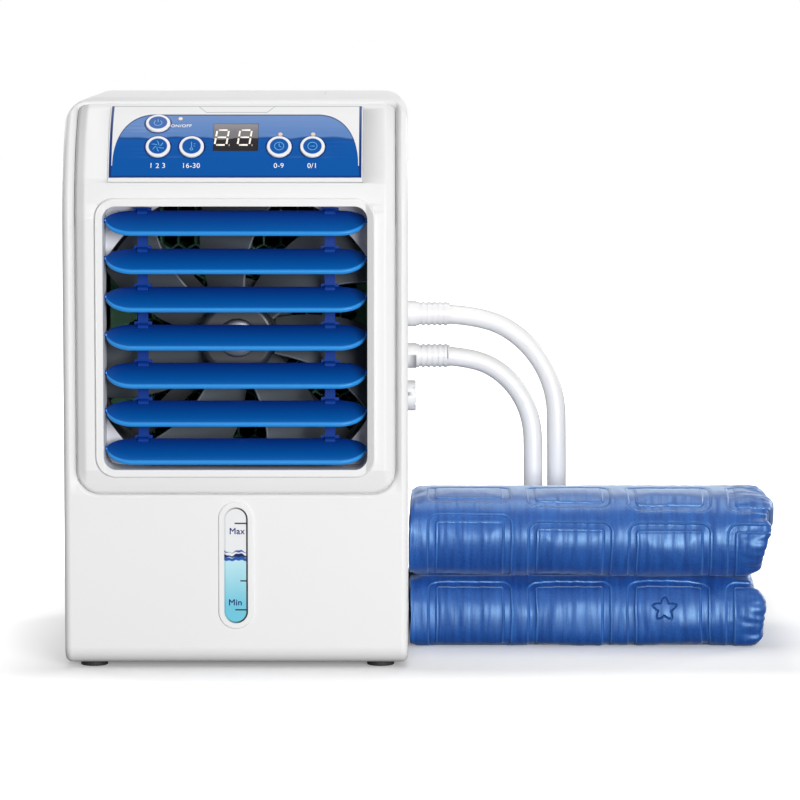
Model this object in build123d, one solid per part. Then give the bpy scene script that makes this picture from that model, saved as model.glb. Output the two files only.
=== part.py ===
# Water cooling mattress pad: a desktop cooler with a fan, and the folded pad that its two hoses feed.
# Millimetres. X runs to the right, Y to the back and Z up. The origin is on the floor, under the
# middle of the cooler. Each sub-part is written to parts/NAME.step at its place in the whole.
from build123d import *
import os
from math import atan2, cos, degrees, hypot, pi, radians, sin, sqrt, tan

# Casing
unit_width = 200.0
unit_depth = 235.0
unit_height = 331.0
wall = 2.5
brow_radius = 75.0          # the front bends back into the top over this radius
brow_angle = 72.4           # how far it bends before the crest takes over
crest_radius = 15.0
side_round = 4.0            # along both sides
inner_round = 1.0           # least rounding inside
shoulder_round = 15.0       # top corners, seen from the front
heel_round = 10.0           # front and rear bottom edges
rear_round = 12.0           # rear top edge

# Clearances
panel_gap = 0.3             # between panels that meet in one plane
seat_gap = 0.3              # between pieces that rest near each other
running_gap = 0.08          # radial, round pins and shafts
key_gap = 0.2               # radial, round a key

# Front bezel, set into the housing
bezel_half_width = unit_width / 2 - 7
bezel_bottom = 102.4
bezel_corner = 14.5
bezel_top_corner = 8.0
bezel_top_angle = 68.0
shoulder = 2.0              # soft edge on both sides of the seam
ledge_width = 4.0           # under the bezel
ledge_overlap = 1.2         # under the housing round it
ledge_thickness = 2.0

# Louver
louver_margin = 14.55       # bezel's lower edge to the opening
louver_size = min(unit_width - 47, unit_height - 178)
louver_height = bezel_bottom + louver_margin + louver_size / 2
louver_corner = 7.5
lip_width = 4.6
lip_proud = 2.0
lip_round = 1.2
collar_wall = 1.6
collar_depth = 29.0
slat_count = 7
slat_pitch = louver_size * 0.1451
slat_offset = 1.0           # the slats' middle above the louver's middle
slat_setback = 13.0         # pivots behind the front face
slat_tilt = 38.0
slat_front = 12.3           # pivot to front edge
slat_rear = 8.2             # pivot to rear edge
slat_thickness = 1.6
slat_bead = 1.4             # radius of the bead along the front edge
slat_end_gap = 0.8
slat_end_length = 16.0      # rounded end, along the slat
pivot_radius = 1.5
link_spread = louver_size * 0.3562   # link bars left and right of the middle
link_arm = 6.6              # pivot to link pin
link_width = 6.0
link_thickness = 1.6
link_setback = 2.6          # bar behind its pins
link_pin_radius = 1.0
link_ring_radius = 2.2
link_flange_width = 10.4
link_flange_height = 2.6
notch_side_gap = 0.6
notch_floor_gap = 0.5

# Control panel on the brow
fascia_half_width = bezel_half_width - 19.3
fascia_low_angle = 19.4
fascia_high_angle = 63.6
fascia_depth = 1.4
fascia_proud = 0.4
key_radius = 7.2
key_proud = 1.2
key_thickness = 2.0
key_flange_radius = 8.4
key_flange_thickness = 1.0
key_ear_width = 8.0         # across the two ears that hold a key in
key_stem_radius = 2.4
key_travel = 0.6
key_places = {
    "power_key": (-45.5, 50.2),
    "fan_speed_key": (-45.0, 36.5),
    "thermostat_key": (-25.5, 36.5),
    "timer_key": (25.3, 36.5),
    "ion_key": (44.6, 36.5),
}
light_places = [(-32.5, 53.6), (25.9, 43.6), (44.9, 43.6)]
light_radius = 1.3
display_half_width = 13.0
display_low_angle = 34.4
display_high_angle = 50.1
display_rim = 0.9
display_tuck = 0.35         # display body below the bezel's inner side
display_body_half_width = 14.0
display_body_half_height = 10.5
board_angle = 42.3
board_radius = 61.0
board_thickness = 1.6
board_half_width = fascia_half_width - 3.7
board_half_height = 15.0
board_post_radius = 2.5
board_post_inset = 4.0
tact_size = 6.0
tact_height = 3.5
tact_button_radius = 1.7
tact_button_height = 0.8

# Fan
fan_height = louver_height - 2.45
duct_radius = louver_size / 2 + 13
duct_wall = 2.0
duct_flange = duct_radius + 3.5      # half side of the square flange
duct_flange_thickness = 2.0
duct_length = 38.0
hub_radius = 22.7
hub_length = 28.0
hub_wall = 2.0
hub_setback = 4.0           # hub's face behind the duct's flange
blade_count = 7
blade_gap = 2.0             # tip to duct
blade_root_chord = 30.0
blade_tip_chord = 52.0
blade_root_pitch = 50.0        # from the plane of rotation
blade_tip_pitch = 28.0
blade_sweep = 16.0          # the tip leads the root by this angle
blade_thickness = 1.8
cap_radius = 11.4
cap_height = 2.4
shaft_radius = 3.0
bracket_thickness = 3.0
bracket_arms = 4
bracket_arm_width = 10.0
motor_radius = 31.0
motor_length = 34.0
motor_bore_depth = 18.0
motor_boss_radius = 9.0

# Cooling curtain, drip tray and fill mouth
curtain_half_width = unit_width / 2 - 20
curtain_front = 0.0
curtain_depth = 28.0
curtain_frame = 5.0
cell_radius = 5.2
cell_wall = 1.3
tray_wall = 2.0
tray_bottom = unit_height - 43
tray_hole_radius = 1.5
tray_hole_pitch = 12.0
mouth_width = 100.0
mouth_front = 10.0
mouth_back = unit_depth / 2 - 45.5
mouth_corner = 6.0
mouth_ledge = 2.0
lid_thickness = 2.4
hinge_width = 56.0
hinge_lug_width = 12.0
hinge_pin_radius = 1.25
hinge_knuckle_radius = 2.4
hinge_drop = 2.4            # pin below the top face
hinge_back = 4.0            # pin behind the mouth
hinge_gap = 0.8             # room for the lid and its knuckles to turn

# Water side
tank_half_width = unit_width / 2 - 12
tank_rear = unit_depth / 2 - 19.5
tank_floor = 10.0
tank_top = bezel_bottom - 6.4
tank_wall = 2.5
pump_middle = (unit_width / 2 - 34, unit_depth / 2 - 45.5)
pump_width = 34.0
pump_depth = 36.0
pump_height = 32.0
pump_wall = 3.0
pump_cover_thickness = 2.0
pump_inlet_radius = 5.0
impeller_radius = 11.0
impeller_height = 7.0
impeller_shaft_radius = 1.5
impeller_vanes = 5
impeller_gap = 1.0
pump_motor_pocket = 9.0
riser_offset = (10.0, 12.0)
riser_radius = 5.0
riser_bore = 3.5
riser_socket = 4.0

# Hose side, on the right of the casing
port_y = unit_depth / 2 - 22.5
supply_port_z = 191.5
return_port_z = 165.2
drain_port_z = 140.0
port_collar_radius = 8.0
port_collar_length = 5.6
nipple_radius = 4.0
nipple_length = 7.0
port_bore = 2.6
manifold_depth = 20.0
manifold_width = 24.0
manifold_margin = 12.0      # manifold above and below its outer ports
return_pipe_z = 101.0
drain_bore = 4.6
plug_head_radius = 9.6
plug_head_length = 5.0
plug_stem_length = 9.0
plug_grip_depth = 1.6
cuff_radius = 7.4
cuff_length = 21.0
cuff_rib = 0.7
cuff_rib_count = 6

# Level window
window_width = 13.8
window_height = 68.0
window_middle = 61.0
window_lip = 3.4
window_proud = 1.0
window_flange = 3.0
window_flange_thickness = 1.5

# Rear and base
rear_half_width = unit_width / 2 - 20
rear_low = 40.0
rear_high = unit_height - 31
rear_corner = 6.0
cover_flange = 9.0
cover_flange_thickness = 2.0
door_half_width = rear_half_width - 16
door_low = rear_low + 70
door_high = rear_high - 18
door_frame = 8.0
door_stop = 3.0
grille_slot = 6.0
grille_bar = 4.0
filter_thickness = 1.5
inlet_middle = (50.0, 72.0)
inlet_width = 22.0
inlet_height = 14.0
inlet_depth = 16.0
inlet_rim = 3.0
inlet_wall = 2.0
inlet_recess = 11.0
inlet_pin_radius = 1.2
inlet_pin_spread = 4.3
inlet_pin_length = 8.0
base_open_x = unit_width / 2 - 28
base_open_y = unit_depth / 2 - 29.5
pan_thickness = 2.0
pan_rib_thickness = 3.0
pan_rib_spread = 60.0
foot_radius = 8.0
foot_height = 3.0
foot_plug_radius = 4.0
foot_x = unit_width / 2 - 16
foot_y = unit_depth / 2 - 18.5
screw_head_radius = 2.9
screw_head_height = 1.2
screw_radius = 1.5
screw_length = 6.2
screw_inset = 4.5
base_screw_y = base_open_y - 28

# Ion generator, in a corner behind the duct's flange
ion_width = 18.0
ion_height = 12.0
ion_depth = 14.0
ion_corner = duct_flange - 16   # from the fan's axis, across and up

# Folded pad
pad_gap = 1.0               # to the casing
pad_length = 217.5
pad_front = -37.7
pad_depth = 120.0
pad_height = 91.0
pad_seam = 41.3
pad_crown = 18.0
pad_edge = 8.0
pad_end = 6.0
fitting_radius = 6.0
fitting_flange = 2.0
fitting_length = 12.0
fitting_nipple = 4.5
supply_fitting = (unit_width / 2 + 204, pad_seam + 11.7)
return_fitting = (unit_width / 2 + 200, 17.0)

# Hoses
hose_diameter = 12.0
coil_radius = 60.0
coil_layers = 2
supply_coil_middle = (unit_width / 2 + 154, unit_depth / 2 + 54.5)
return_coil_middle = (unit_width / 2 + 139, unit_depth / 2 + 54.5)
coil_gap = 0.3

# Places that follow from the sizes
side_x = unit_width / 2
front_y = -unit_depth / 2
rear_y = unit_depth / 2
base_z = foot_height
brow_y = front_y + brow_radius
crest_reach = brow_radius - crest_radius
brow_z = unit_height - crest_radius - crest_reach * sin(radians(brow_angle))
crest_y = brow_y - crest_reach * cos(radians(brow_angle))
crest_z = unit_height - crest_radius
pivot_y = front_y + slat_setback
collar_rear = front_y + collar_depth
duct_rear = collar_rear + duct_length
pan_z = base_z + wall
slat_heights = [
    louver_height + slat_offset + slat_pitch * ((slat_count - 1) / 2 - row) for row in range(slat_count)
]

parts = {}


# Shapes

def box(xs, ys, zs):
    """A block given by its (low, high) along each axis."""
    sizes = [high - low for low, high in (xs, ys, zs)]
    middles = [(low + high) / 2 for low, high in (xs, ys, zs)]
    return Pos(*middles) * Box(*sizes)


def rod(start, direction, length, radius):
    """A round bar from start along direction."""
    stand = (Align.CENTER, Align.CENTER, Align.MIN)
    return Plane(origin=start, z_dir=direction) * Cylinder(radius, length, align=stand)


def along_x(sketch, low, high):
    """A side view, drawn in Y and Z, given thickness from low to high."""
    return extrude(Plane.YZ.offset(low) * sketch, amount=high - low)


def along_y(sketch, low, high):
    """A front view, drawn in X and Z, given thickness from low to high."""
    facing = Plane(origin=(0, high, 0), x_dir=(1, 0, 0), z_dir=(0, -1, 0))
    return extrude(facing * sketch, amount=high - low)


def along_z(sketch, low, high):
    """A plan, drawn in X and Y, given thickness from low to high."""
    return extrude(Plane.XY.offset(low) * sketch, amount=high - low)


def plate(xs, zs, corner):
    """A front view of a panel with rounded corners."""
    middle = Pos((xs[0] + xs[1]) / 2, (zs[0] + zs[1]) / 2)
    return middle * RectangleRounded(xs[1] - xs[0], zs[1] - zs[0], corner)


def upright_slot(width, height, z):
    """A front view of a slot that stands on its end."""
    return Pos(0, z) * SlotOverall(height, width, rotation=90)


# The casing's skin, used at several depths

def skin_depth(point):
    """How far a point lies behind the casing's front and brow."""
    if point.Z <= brow_z:
        return point.Y - front_y
    return brow_radius - hypot(point.Y - brow_y, point.Z - brow_z)


def side_outline(inset):
    """The casing seen from the side, drawn inset from its outer skin."""
    low, high = base_z + inset, unit_height - inset
    near, far = front_y + inset, rear_y - inset
    arcs = [
        CenterArc((front_y + heel_round, base_z + heel_round), heel_round - inset, 270, -90),
        CenterArc((brow_y, brow_z), brow_radius - inset, 180, -brow_angle),
        CenterArc((crest_y, crest_z), crest_radius - inset, 180 - brow_angle, brow_angle - 90),
        CenterArc((rear_y - rear_round, unit_height - rear_round), rear_round - inset, 90, -90),
        CenterArc((rear_y - heel_round, base_z + heel_round), heel_round - inset, 0, -90),
    ]
    lines = [
        Line((near, base_z + heel_round), (near, brow_z)),
        Line((crest_y, high), (rear_y - rear_round, high)),
        Line((far, unit_height - rear_round), (far, base_z + heel_round)),
        Line((rear_y - heel_round, low), (front_y + heel_round, low)),
    ]
    return make_face(arcs + lines)


def casing(inset):
    """The casing as a solid block, drawn inset from its outer skin."""
    half = side_x - inset
    block = along_x(side_outline(inset), -half, half)
    ends = [face for face in block.faces().filter_by(Axis.X)]
    edges = [edge for face in ends for edge in face.edges()]
    block = fillet(edges, max(side_round - inset, inner_round))
    front = plate((-half, half), (base_z - shoulder_round, unit_height - inset), shoulder_round - inset)
    return block & along_y(front, front_y - 1, rear_y + 1)


def bezel_region(grow):
    """The part of the casing that the bezel fills, grown or shrunk all round."""
    half, low = bezel_half_width + grow, bezel_bottom - grow
    front = Pos(0, (low + unit_height + wall) / 2) * Rectangle(2 * half, unit_height + wall - low)
    corners = front.vertices().sort_by(Axis.Y)[:2]
    front = fillet(corners, bezel_corner + grow)
    top = radians(bezel_top_angle) + grow / brow_radius
    reach = brow_radius + 2 * wall
    tip = (brow_y - reach * cos(top), brow_z + reach * sin(top))
    side = make_face(Polyline(
        (brow_y, brow_z), tip, (front_y - wall, tip[1]), (front_y - wall, base_z), (brow_y, base_z), close=True
    ))
    region = along_y(front, front_y - 1, brow_y) & along_x(side, -side_x, side_x)
    level = region.edges().filter_by(GeomType.LINE).sort_by(Axis.Z)
    across = Vector(0, brow_y - tip[0], brow_z - tip[1]).normalized()
    slanted = [edge for edge in level if edge.length > 1 and abs(abs((edge % 0).dot(across)) - 1) < 1e-4]
    return fillet(slanted, bezel_top_corner + grow)


def brow_angle_at(point):
    """The angle round the brow at which a point lies."""
    return degrees(atan2(point.Z - brow_z, brow_y - point.Y))


def on_rim(edge):
    """True for an edge of the bezel's seam on the outer skin."""
    middle = edge.position_at(0.5)
    if abs(skin_depth(middle)) > 0.02:
        return False
    inside = abs(middle.X) < bezel_half_width + 2 * panel_gap and middle.Z > bezel_bottom - 2 * panel_gap
    across_brow = abs(middle.X) < 1 and abs(middle.Z - brow_z) < 0.01
    highest = max(brow_angle_at(edge @ 0), brow_angle_at(edge @ 1))
    return inside and not across_brow and highest < bezel_top_angle + 1


def brow_plane(x, angle, radius):
    """A plane on the brow: local X to the right, Y up along the brow and Z straight out."""
    out = Vector(0, -cos(radians(angle)), sin(radians(angle)))
    return Plane(origin=Vector(x, brow_y, brow_z) + out * radius, x_dir=(1, 0, 0), z_dir=out)


def brow_block(half_width, angles, radii):
    """A curved block that follows the brow between two angles and two radii."""
    low, high = angles
    inner, outer = radii
    centre = (brow_y, brow_z)
    arc_in = CenterArc(centre, inner, 180 - high, high - low)
    arc_out = CenterArc(centre, outer, 180 - high, high - low)
    sides = [Line(arc_in @ 0, arc_out @ 0), Line(arc_in @ 1, arc_out @ 1)]
    return along_x(make_face([arc_in, arc_out] + sides), -half_width, half_width)


skin = casing(0)
cavity = casing(wall)


# Casing panels

def screw_places():
    """Where each screw's head sits, and the way that it points into the casing."""
    places = []
    across = rear_half_width + screw_inset
    for x in (-across, across):
        for z in (rear_low - screw_inset, rear_high + screw_inset):
            places.append(((x, rear_y, z), (0, -1, 0)))
    for x in (-foot_x, foot_x):
        for y in (-base_screw_y, base_screw_y):
            places.append(((x, y, base_z), (0, 0, 1)))
    return places


def screw_holes(radius_extra):
    """The holes that the screws need, head and shank."""
    holes = []
    for place, way in screw_places():
        holes.append(rod(place, way, screw_head_height, screw_head_radius + radius_extra))
        holes.append(rod(place, way, screw_length + seat_gap, screw_radius + radius_extra))
    return holes


def build_housing():
    """The one-piece outer shell: top, sides, lower front, rim at the back and at the base."""
    shell = skin - cavity
    ledge = cavity & bezel_region(ledge_overlap)
    ledge = ledge - bezel_region(-ledge_width) - casing(wall + ledge_thickness)
    shell = shell + ledge
    shell = shell - (bezel_region(0) - cavity)
    shell = fillet(shell.edges().filter_by(on_rim), shoulder)
    shell -= box((-base_open_x, base_open_x), (-base_open_y, base_open_y), (0, pan_z))
    opening = plate((-rear_half_width, rear_half_width), (rear_low, rear_high), rear_corner)
    shell -= along_y(opening, rear_y - 2 * wall, rear_y + 1)
    middle = (mouth_front + mouth_back) / 2
    mouth = Pos(0, middle) * RectangleRounded(mouth_width, mouth_back - mouth_front, mouth_corner)
    shell -= along_z(mouth, unit_height - 2 * wall, unit_height + 1)
    knuckle = hinge_back + hinge_knuckle_radius + hinge_gap
    half = hinge_width / 2 + seat_gap
    top = (unit_height - 2 * wall, unit_height + 1)
    shell -= box((-half, half), (mouth_back - mouth_corner, mouth_back + knuckle), top)
    for z in (supply_port_z, return_port_z):
        shell -= rod((side_x - 2 * wall, port_y, z), (1, 0, 0), 3 * wall, port_collar_radius + panel_gap)
    shell -= rod((side_x - 2 * wall, port_y, drain_port_z), (1, 0, 0), 3 * wall, plug_head_radius - 1)
    ring = upright_slot(window_width + 2 * window_lip, window_height + 2 * window_lip, window_middle)
    ring = along_y(ring, front_y - window_proud, front_y)
    ring = fillet(ring.faces().sort_by(Axis.Y)[0].edges(), window_proud * 0.8)
    shell += ring
    slot = upright_slot(window_width, window_height, window_middle)
    shell -= along_y(slot, front_y - 2 * window_proud, front_y + 2 * wall)
    for x in (-foot_x, foot_x):
        for y in (-foot_y, foot_y):
            shell -= rod((x, y, 0), (0, 0, 1), pan_z + 1, foot_plug_radius + running_gap)
    for hole in screw_holes(running_gap):
        shell -= hole
    return shell


def build_bezel():
    """The front panel that carries the louver and the control panel, with posts for the board."""
    bezel = (skin & bezel_region(-panel_gap)) - cavity
    bezel = fillet(bezel.edges().filter_by(on_rim), shoulder)
    half = louver_size / 2 + collar_wall + panel_gap
    zs = (louver_height - half, louver_height + half)
    corner = louver_corner + collar_wall + panel_gap
    bezel -= along_y(plate((-half, half), zs, corner), front_y - 1, brow_y)
    angle_gap = degrees(panel_gap / brow_radius)
    angles = (fascia_low_angle - angle_gap, fascia_high_angle + angle_gap)
    recess = (brow_radius - fascia_depth, brow_radius + wall)
    bezel -= brow_block(fascia_half_width + panel_gap, angles, recess)
    for x, angle in key_places.values():
        bezel -= key_hole(x, angle)
    for x, angle in light_places:
        bezel -= light_hole(x, angle)
    rim = degrees(display_rim / brow_radius)
    window = (display_low_angle + rim, display_high_angle - rim)
    depth = (brow_radius - 2 * wall, brow_radius + wall)
    bezel -= brow_block(display_half_width - display_rim, window, depth)
    skin_inside = brow_block(bezel_half_width, (0, bezel_top_angle), (1, brow_radius - fascia_depth - panel_gap))
    for post in board_posts():
        bezel += post & skin_inside
    return bezel


def board_posts():
    """Four posts from the bezel's inner side down to the control board."""
    across = board_half_width - board_post_inset
    up = board_half_height - board_post_inset
    plane = brow_plane(0, board_angle, board_radius)
    post = Cylinder(board_post_radius, brow_radius - board_radius, align=(Align.CENTER, Align.CENTER, Align.MIN))
    return [plane * Pos(x, y, 0) * post for x in (-across, across) for y in (-up, up)]


def key_hole(x, angle):
    """A hole for a key, right through the bezel and the fascia."""
    plane = brow_plane(x, angle, brow_radius - 2 * wall)
    return plane * Cylinder(key_radius + key_gap, 4 * wall, align=(Align.CENTER, Align.CENTER, Align.MIN))


def light_hole(x, angle):
    """A hole for a light, right through the bezel and the fascia."""
    plane = brow_plane(x, angle, brow_radius - 2 * wall)
    return plane * Cylinder(light_radius + key_gap, 4 * wall, align=(Align.CENTER, Align.CENTER, Align.MIN))


def build_rear_cover():
    """The rear panel: a plate in the housing's opening, with a flange behind the rim."""
    half = rear_half_width - panel_gap
    outer = plate((-half, half), (rear_low + panel_gap, rear_high - panel_gap), rear_corner - panel_gap)
    cover = along_y(outer, rear_y - wall, rear_y)
    wide = rear_half_width + cover_flange
    flange = plate((-wide, wide), (rear_low - cover_flange, rear_high + cover_flange), rear_corner + cover_flange)
    flange = along_y(flange, rear_y - wall - cover_flange_thickness, rear_y - wall)
    cover += flange
    for place, way in screw_places()[:4]:
        boss = (place[0], rear_y - wall, place[2])
        cover += rod(boss, way, screw_length - wall + seat_gap, screw_radius + 2)
    door = plate((-door_half_width, door_half_width), (door_low, door_high), rear_corner)
    cover -= along_y(door, rear_y - wall, rear_y + 1)
    inner = door_half_width - door_stop
    through = plate((-inner, inner), (door_low + door_stop, door_high - door_stop), rear_corner)
    cover -= along_y(through, rear_y - 3 * wall, rear_y + 1)
    xs, zs = inlet_box(panel_gap)
    cover -= box(xs, (rear_y - 3 * wall, rear_y + 1), zs)
    for hole in screw_holes(running_gap)[:8]:
        cover -= hole
    return cover


def build_base_pan():
    """The pan that closes the bottom and carries the tank on ribs."""
    half_x = side_x - side_round - wall
    half_y = rear_y - heel_round
    pan = box((-half_x, half_x), (-half_y, half_y), (pan_z, pan_z + pan_thickness))
    for x in (-pan_rib_spread, 0, pan_rib_spread):
        half = pan_rib_thickness / 2
        pan += box((x - half, x + half), (front_y + 4 * wall, tank_rear), (pan_z, tank_floor))
    for place, way in screw_places()[4:]:
        pan += rod((place[0], place[1], pan_z), way, screw_length - wall + seat_gap, screw_radius + 2)
    for hole in screw_holes(running_gap)[8:]:
        pan -= hole
    for x in (-foot_x, foot_x):
        for y in (-foot_y, foot_y):
            pan -= rod((x, y, pan_z), (0, 0, 1), pan_thickness + 1, foot_plug_radius + running_gap)
    return pan


def build_feet():
    """Four rubber feet with plugs that snap into the base."""
    feet = []
    for x in (-foot_x, foot_x):
        for y in (-foot_y, foot_y):
            foot = rod((x, y, 0), (0, 0, 1), foot_height, foot_radius)
            foot = fillet(foot.edges().sort_by(Axis.Z)[0], foot_height / 4)
            feet.append(foot + rod((x, y, foot_height), (0, 0, 1), wall + pan_thickness, foot_plug_radius))
    return Compound(children=feet)


def build_screws():
    """Four screws in the rear and four in the base, with a cross recess each."""
    screws = []
    for place, way in screw_places():
        screw = rod(place, way, screw_head_height, screw_head_radius)
        screw += rod(place, way, screw_length, screw_radius)
        turned = Plane(origin=place, z_dir=way)
        for size in ((2.8, 0.6), (0.6, 2.8)):
            screw -= turned * Box(size[0], size[1], screw_head_height)
        screws.append(screw)
    return Compound(children=screws)


parts["main_housing"] = build_housing()
parts["front_bezel"] = build_bezel()


def inlet_box(grow):
    """The power inlet's outline seen from behind, grown all round."""
    x, z = inlet_middle
    half_x, half_z = inlet_width / 2 + grow, inlet_height / 2 + grow
    return (x - half_x, x + half_x), (z - half_z, z + half_z)


parts["rear_cover"] = build_rear_cover()
parts["base_pan"] = build_base_pan()
parts["rubber_feet"] = build_feet()
parts["housing_screws"] = build_screws()


# Louver with its slats and link bars

def square(size, corner):
    """A front view of a rounded square round the louver's middle."""
    return Pos(0, louver_height) * RectangleRounded(size, size, corner)


def build_louver_frame():
    """The white lip round the outlet, and the collar that holds the slats' pivots."""
    outer = square(louver_size + 2 * collar_wall, louver_corner + collar_wall)
    lip = square(louver_size + 2 * lip_width, louver_corner + lip_width)
    lip = along_y(lip, front_y - lip_proud, front_y)
    lip = fillet(lip.faces().sort_by(Axis.Y)[0].edges(), lip_round)
    frame = lip + along_y(outer, front_y, collar_rear)
    frame -= along_y(square(louver_size, louver_corner), front_y - 2 * lip_proud, collar_rear + 1)
    reach = louver_size / 2 + 2 * collar_wall
    for z in slat_heights:
        frame -= rod((-reach, pivot_y, z), (1, 0, 0), 2 * reach, pivot_radius + running_gap)
    return frame


def build_slat(z):
    """One slat with rounded ends, a bead on its front edge, end pivots and two link pins."""
    half = louver_size / 2 - slat_end_gap
    straight = half - slat_end_length
    tip = slat_front - slat_bead
    front_arcs = [
        EllipticalCenterArc((straight, 0), slat_end_length, tip, 270, arc_size=90),
        EllipticalCenterArc((-straight, 0), slat_end_length, tip, 180, arc_size=90),
    ]
    rear_straight = half - slat_end_length / 2
    rear_arcs = [
        EllipticalCenterArc((rear_straight, 0), slat_end_length / 2, slat_rear, 0, arc_size=90),
        EllipticalCenterArc((-rear_straight, 0), slat_end_length / 2, slat_rear, 90, arc_size=90),
    ]
    lines = [
        Line((-straight, -tip), (straight, -tip)),
        Line((-rear_straight, slat_rear), (rear_straight, slat_rear)),
    ]
    plan = make_face(front_arcs + rear_arcs + lines)
    slat = along_z(plan, -slat_thickness / 2, slat_thickness / 2)
    slat += rod((-straight, -tip, 0), (1, 0, 0), 2 * straight, slat_bead)
    for x in (-link_spread, link_spread):
        notch = link_width / 2 + notch_side_gap
        floor = link_arm - link_ring_radius - notch_floor_gap
        slat -= box((x - notch, x + notch), (floor, slat_rear + 1), (-slat_thickness, slat_thickness))
        slat += rod((x - notch, link_arm, 0), (1, 0, 0), 2 * notch, link_pin_radius)
    spread = half - pivot_radius
    for side in (-1, 1):
        end = side * (spread - slat_end_length / 2)
        length = louver_size / 2 + collar_wall - abs(end)
        slat += rod((end, 0, 0), (side, 0, 0), length, pivot_radius)
    tilted = Pos(0, pivot_y, z) * Rot(slat_tilt, 0, 0)
    return tilted * slat


def build_link_bar(x):
    """A bar behind the slats with one clip ring per slat."""
    back = link_arm * cos(radians(slat_tilt))
    rise = link_arm * sin(radians(slat_tilt))
    pins = [(pivot_y + back, z + rise) for z in slat_heights]
    y = pins[0][0]
    near = y + link_setback
    half = link_width / 2
    ends = (pins[-1][1] - link_ring_radius, pins[0][1] + link_ring_radius)
    bar = box((x - half, x + half), (near, near + link_thickness), ends)
    for y, z in pins:
        bar += rod((x - half, y, z), (1, 0, 0), link_width, link_ring_radius)
        neck = link_pin_radius + running_gap
        bar += box((x - half, x + half), (y + neck, near + link_thickness), (z - neck, z + neck))
        wide = link_flange_width / 2
        flange = (z + link_pin_radius / 2, z + link_pin_radius / 2 + link_flange_height)
        bar += box((x - wide, x + wide), (near, near + link_thickness), flange)
    for y, z in pins:
        bar -= rod((x - 2 * half, y, z), (1, 0, 0), 2 * link_width, link_pin_radius + running_gap)
    return bar


parts["louver_frame"] = build_louver_frame()
for row, height in enumerate(slat_heights):
    parts[f"slat_{row + 1}"] = build_slat(height)
parts["link_bar_left"] = build_link_bar(-link_spread)
parts["link_bar_right"] = build_link_bar(link_spread)


# Control panel

def build_fascia():
    """The curved panel with holes for the keys, the lights and the display lens."""
    angles = (fascia_low_angle, fascia_high_angle)
    fascia = brow_block(fascia_half_width, angles, (brow_radius - fascia_depth, brow_radius + fascia_proud))
    for x, angle in key_places.values():
        fascia -= key_hole(x, angle)
    for x, angle in light_places:
        fascia -= light_hole(x, angle)
    angle_gap = degrees(panel_gap / 2 / brow_radius)
    window = (display_low_angle - angle_gap, display_high_angle + angle_gap)
    fascia -= brow_block(display_half_width + panel_gap / 2, window, (brow_radius - wall, brow_radius + wall))
    return fascia


def build_lens():
    """The smoked lens over the display, which rests on the bezel."""
    angles = (display_low_angle, display_high_angle)
    depth = (brow_radius - fascia_depth, brow_radius + fascia_proud / 2)
    return brow_block(display_half_width, angles, depth)


def build_display():
    """The two-digit display on the board, just under the bezel."""
    inner = brow_radius - wall - display_tuck
    top = sqrt(inner ** 2 - display_body_half_height ** 2)
    plane = brow_plane(0, board_angle, board_radius)
    size = (2 * display_body_half_width, 2 * display_body_half_height, top - board_radius)
    return plane * Box(*size, align=(Align.CENTER, Align.CENTER, Align.MIN))


def build_board():
    """The control board, flat across the back of the keys."""
    plane = brow_plane(0, board_angle, board_radius - board_thickness)
    size = (2 * board_half_width, 2 * board_half_height, board_thickness)
    return plane * Box(*size, align=(Align.CENTER, Align.CENTER, Align.MIN))


def tact_top(angle):
    """The switch's top, measured from the brow's centre along the key's own axis."""
    lean = radians(angle - board_angle)
    return (board_radius + tact_height + tact_button_height) / cos(lean) + key_stem_radius * tan(abs(lean))


def build_tact_switches():
    """One switch under each key."""
    switches = []
    stand = (Align.CENTER, Align.CENTER, Align.MIN)
    for x, angle in key_places.values():
        along = board_radius * tan(radians(angle - board_angle))
        plane = brow_plane(x, board_angle, board_radius)
        switch = Box(tact_size, tact_size, tact_height, align=stand)
        switch += Pos(0, 0, tact_height) * Cylinder(tact_button_radius, tact_button_height, align=stand)
        switches.append(plane * Pos(0, along, 0) * switch)
    return Compound(children=switches)


def build_lights():
    """Three small light guides from the board to the fascia's face."""
    lights = []
    for x, angle in light_places:
        lean = radians(angle - board_angle)
        start = board_radius / cos(lean) + light_radius * tan(abs(lean)) + seat_gap
        plane = brow_plane(x, angle, start)
        length = brow_radius + fascia_proud - start
        lights.append(plane * Cylinder(light_radius, length, align=(Align.CENTER, Align.CENTER, Align.MIN)))
    return Compound(children=lights)


def build_key(x, angle):
    """A round key: cap, retaining flange behind the bezel, and a stem to its switch."""
    stand = (Align.CENTER, Align.CENTER, Align.MIN)
    inner = brow_radius - wall
    under = sqrt(inner ** 2 - key_flange_radius ** 2) - key_gap - key_flange_thickness
    plane = brow_plane(x, angle, under)
    cap = Cylinder(key_radius, brow_radius + key_proud - under, align=stand)
    cap = fillet(cap.edges().sort_by(Axis.Z)[-1], key_proud / 2)
    ears = Cylinder(key_flange_radius, key_flange_thickness, align=stand)
    ears &= Box(2 * key_flange_radius, key_ear_width, key_flange_thickness, align=stand)
    key = cap + ears
    stem_start = tact_top(angle) + key_travel + seat_gap
    stem = brow_plane(x, angle, stem_start) * Cylinder(key_stem_radius, under - stem_start, align=stand)
    return plane * key + stem


parts["control_fascia"] = build_fascia()
parts["display_lens"] = build_lens()
parts["display_module"] = build_display()
parts["control_board"] = build_board()
parts["tact_switches"] = build_tact_switches()
parts["indicator_lights"] = build_lights()
for name, (x, angle) in key_places.items():
    parts[name] = build_key(x, angle)


# Fan

def fan_rod(y, length, radius):
    """A round bar on the fan's axis, from y towards the back."""
    return rod((0, y, fan_height), (0, 1, 0), length, radius)


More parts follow.
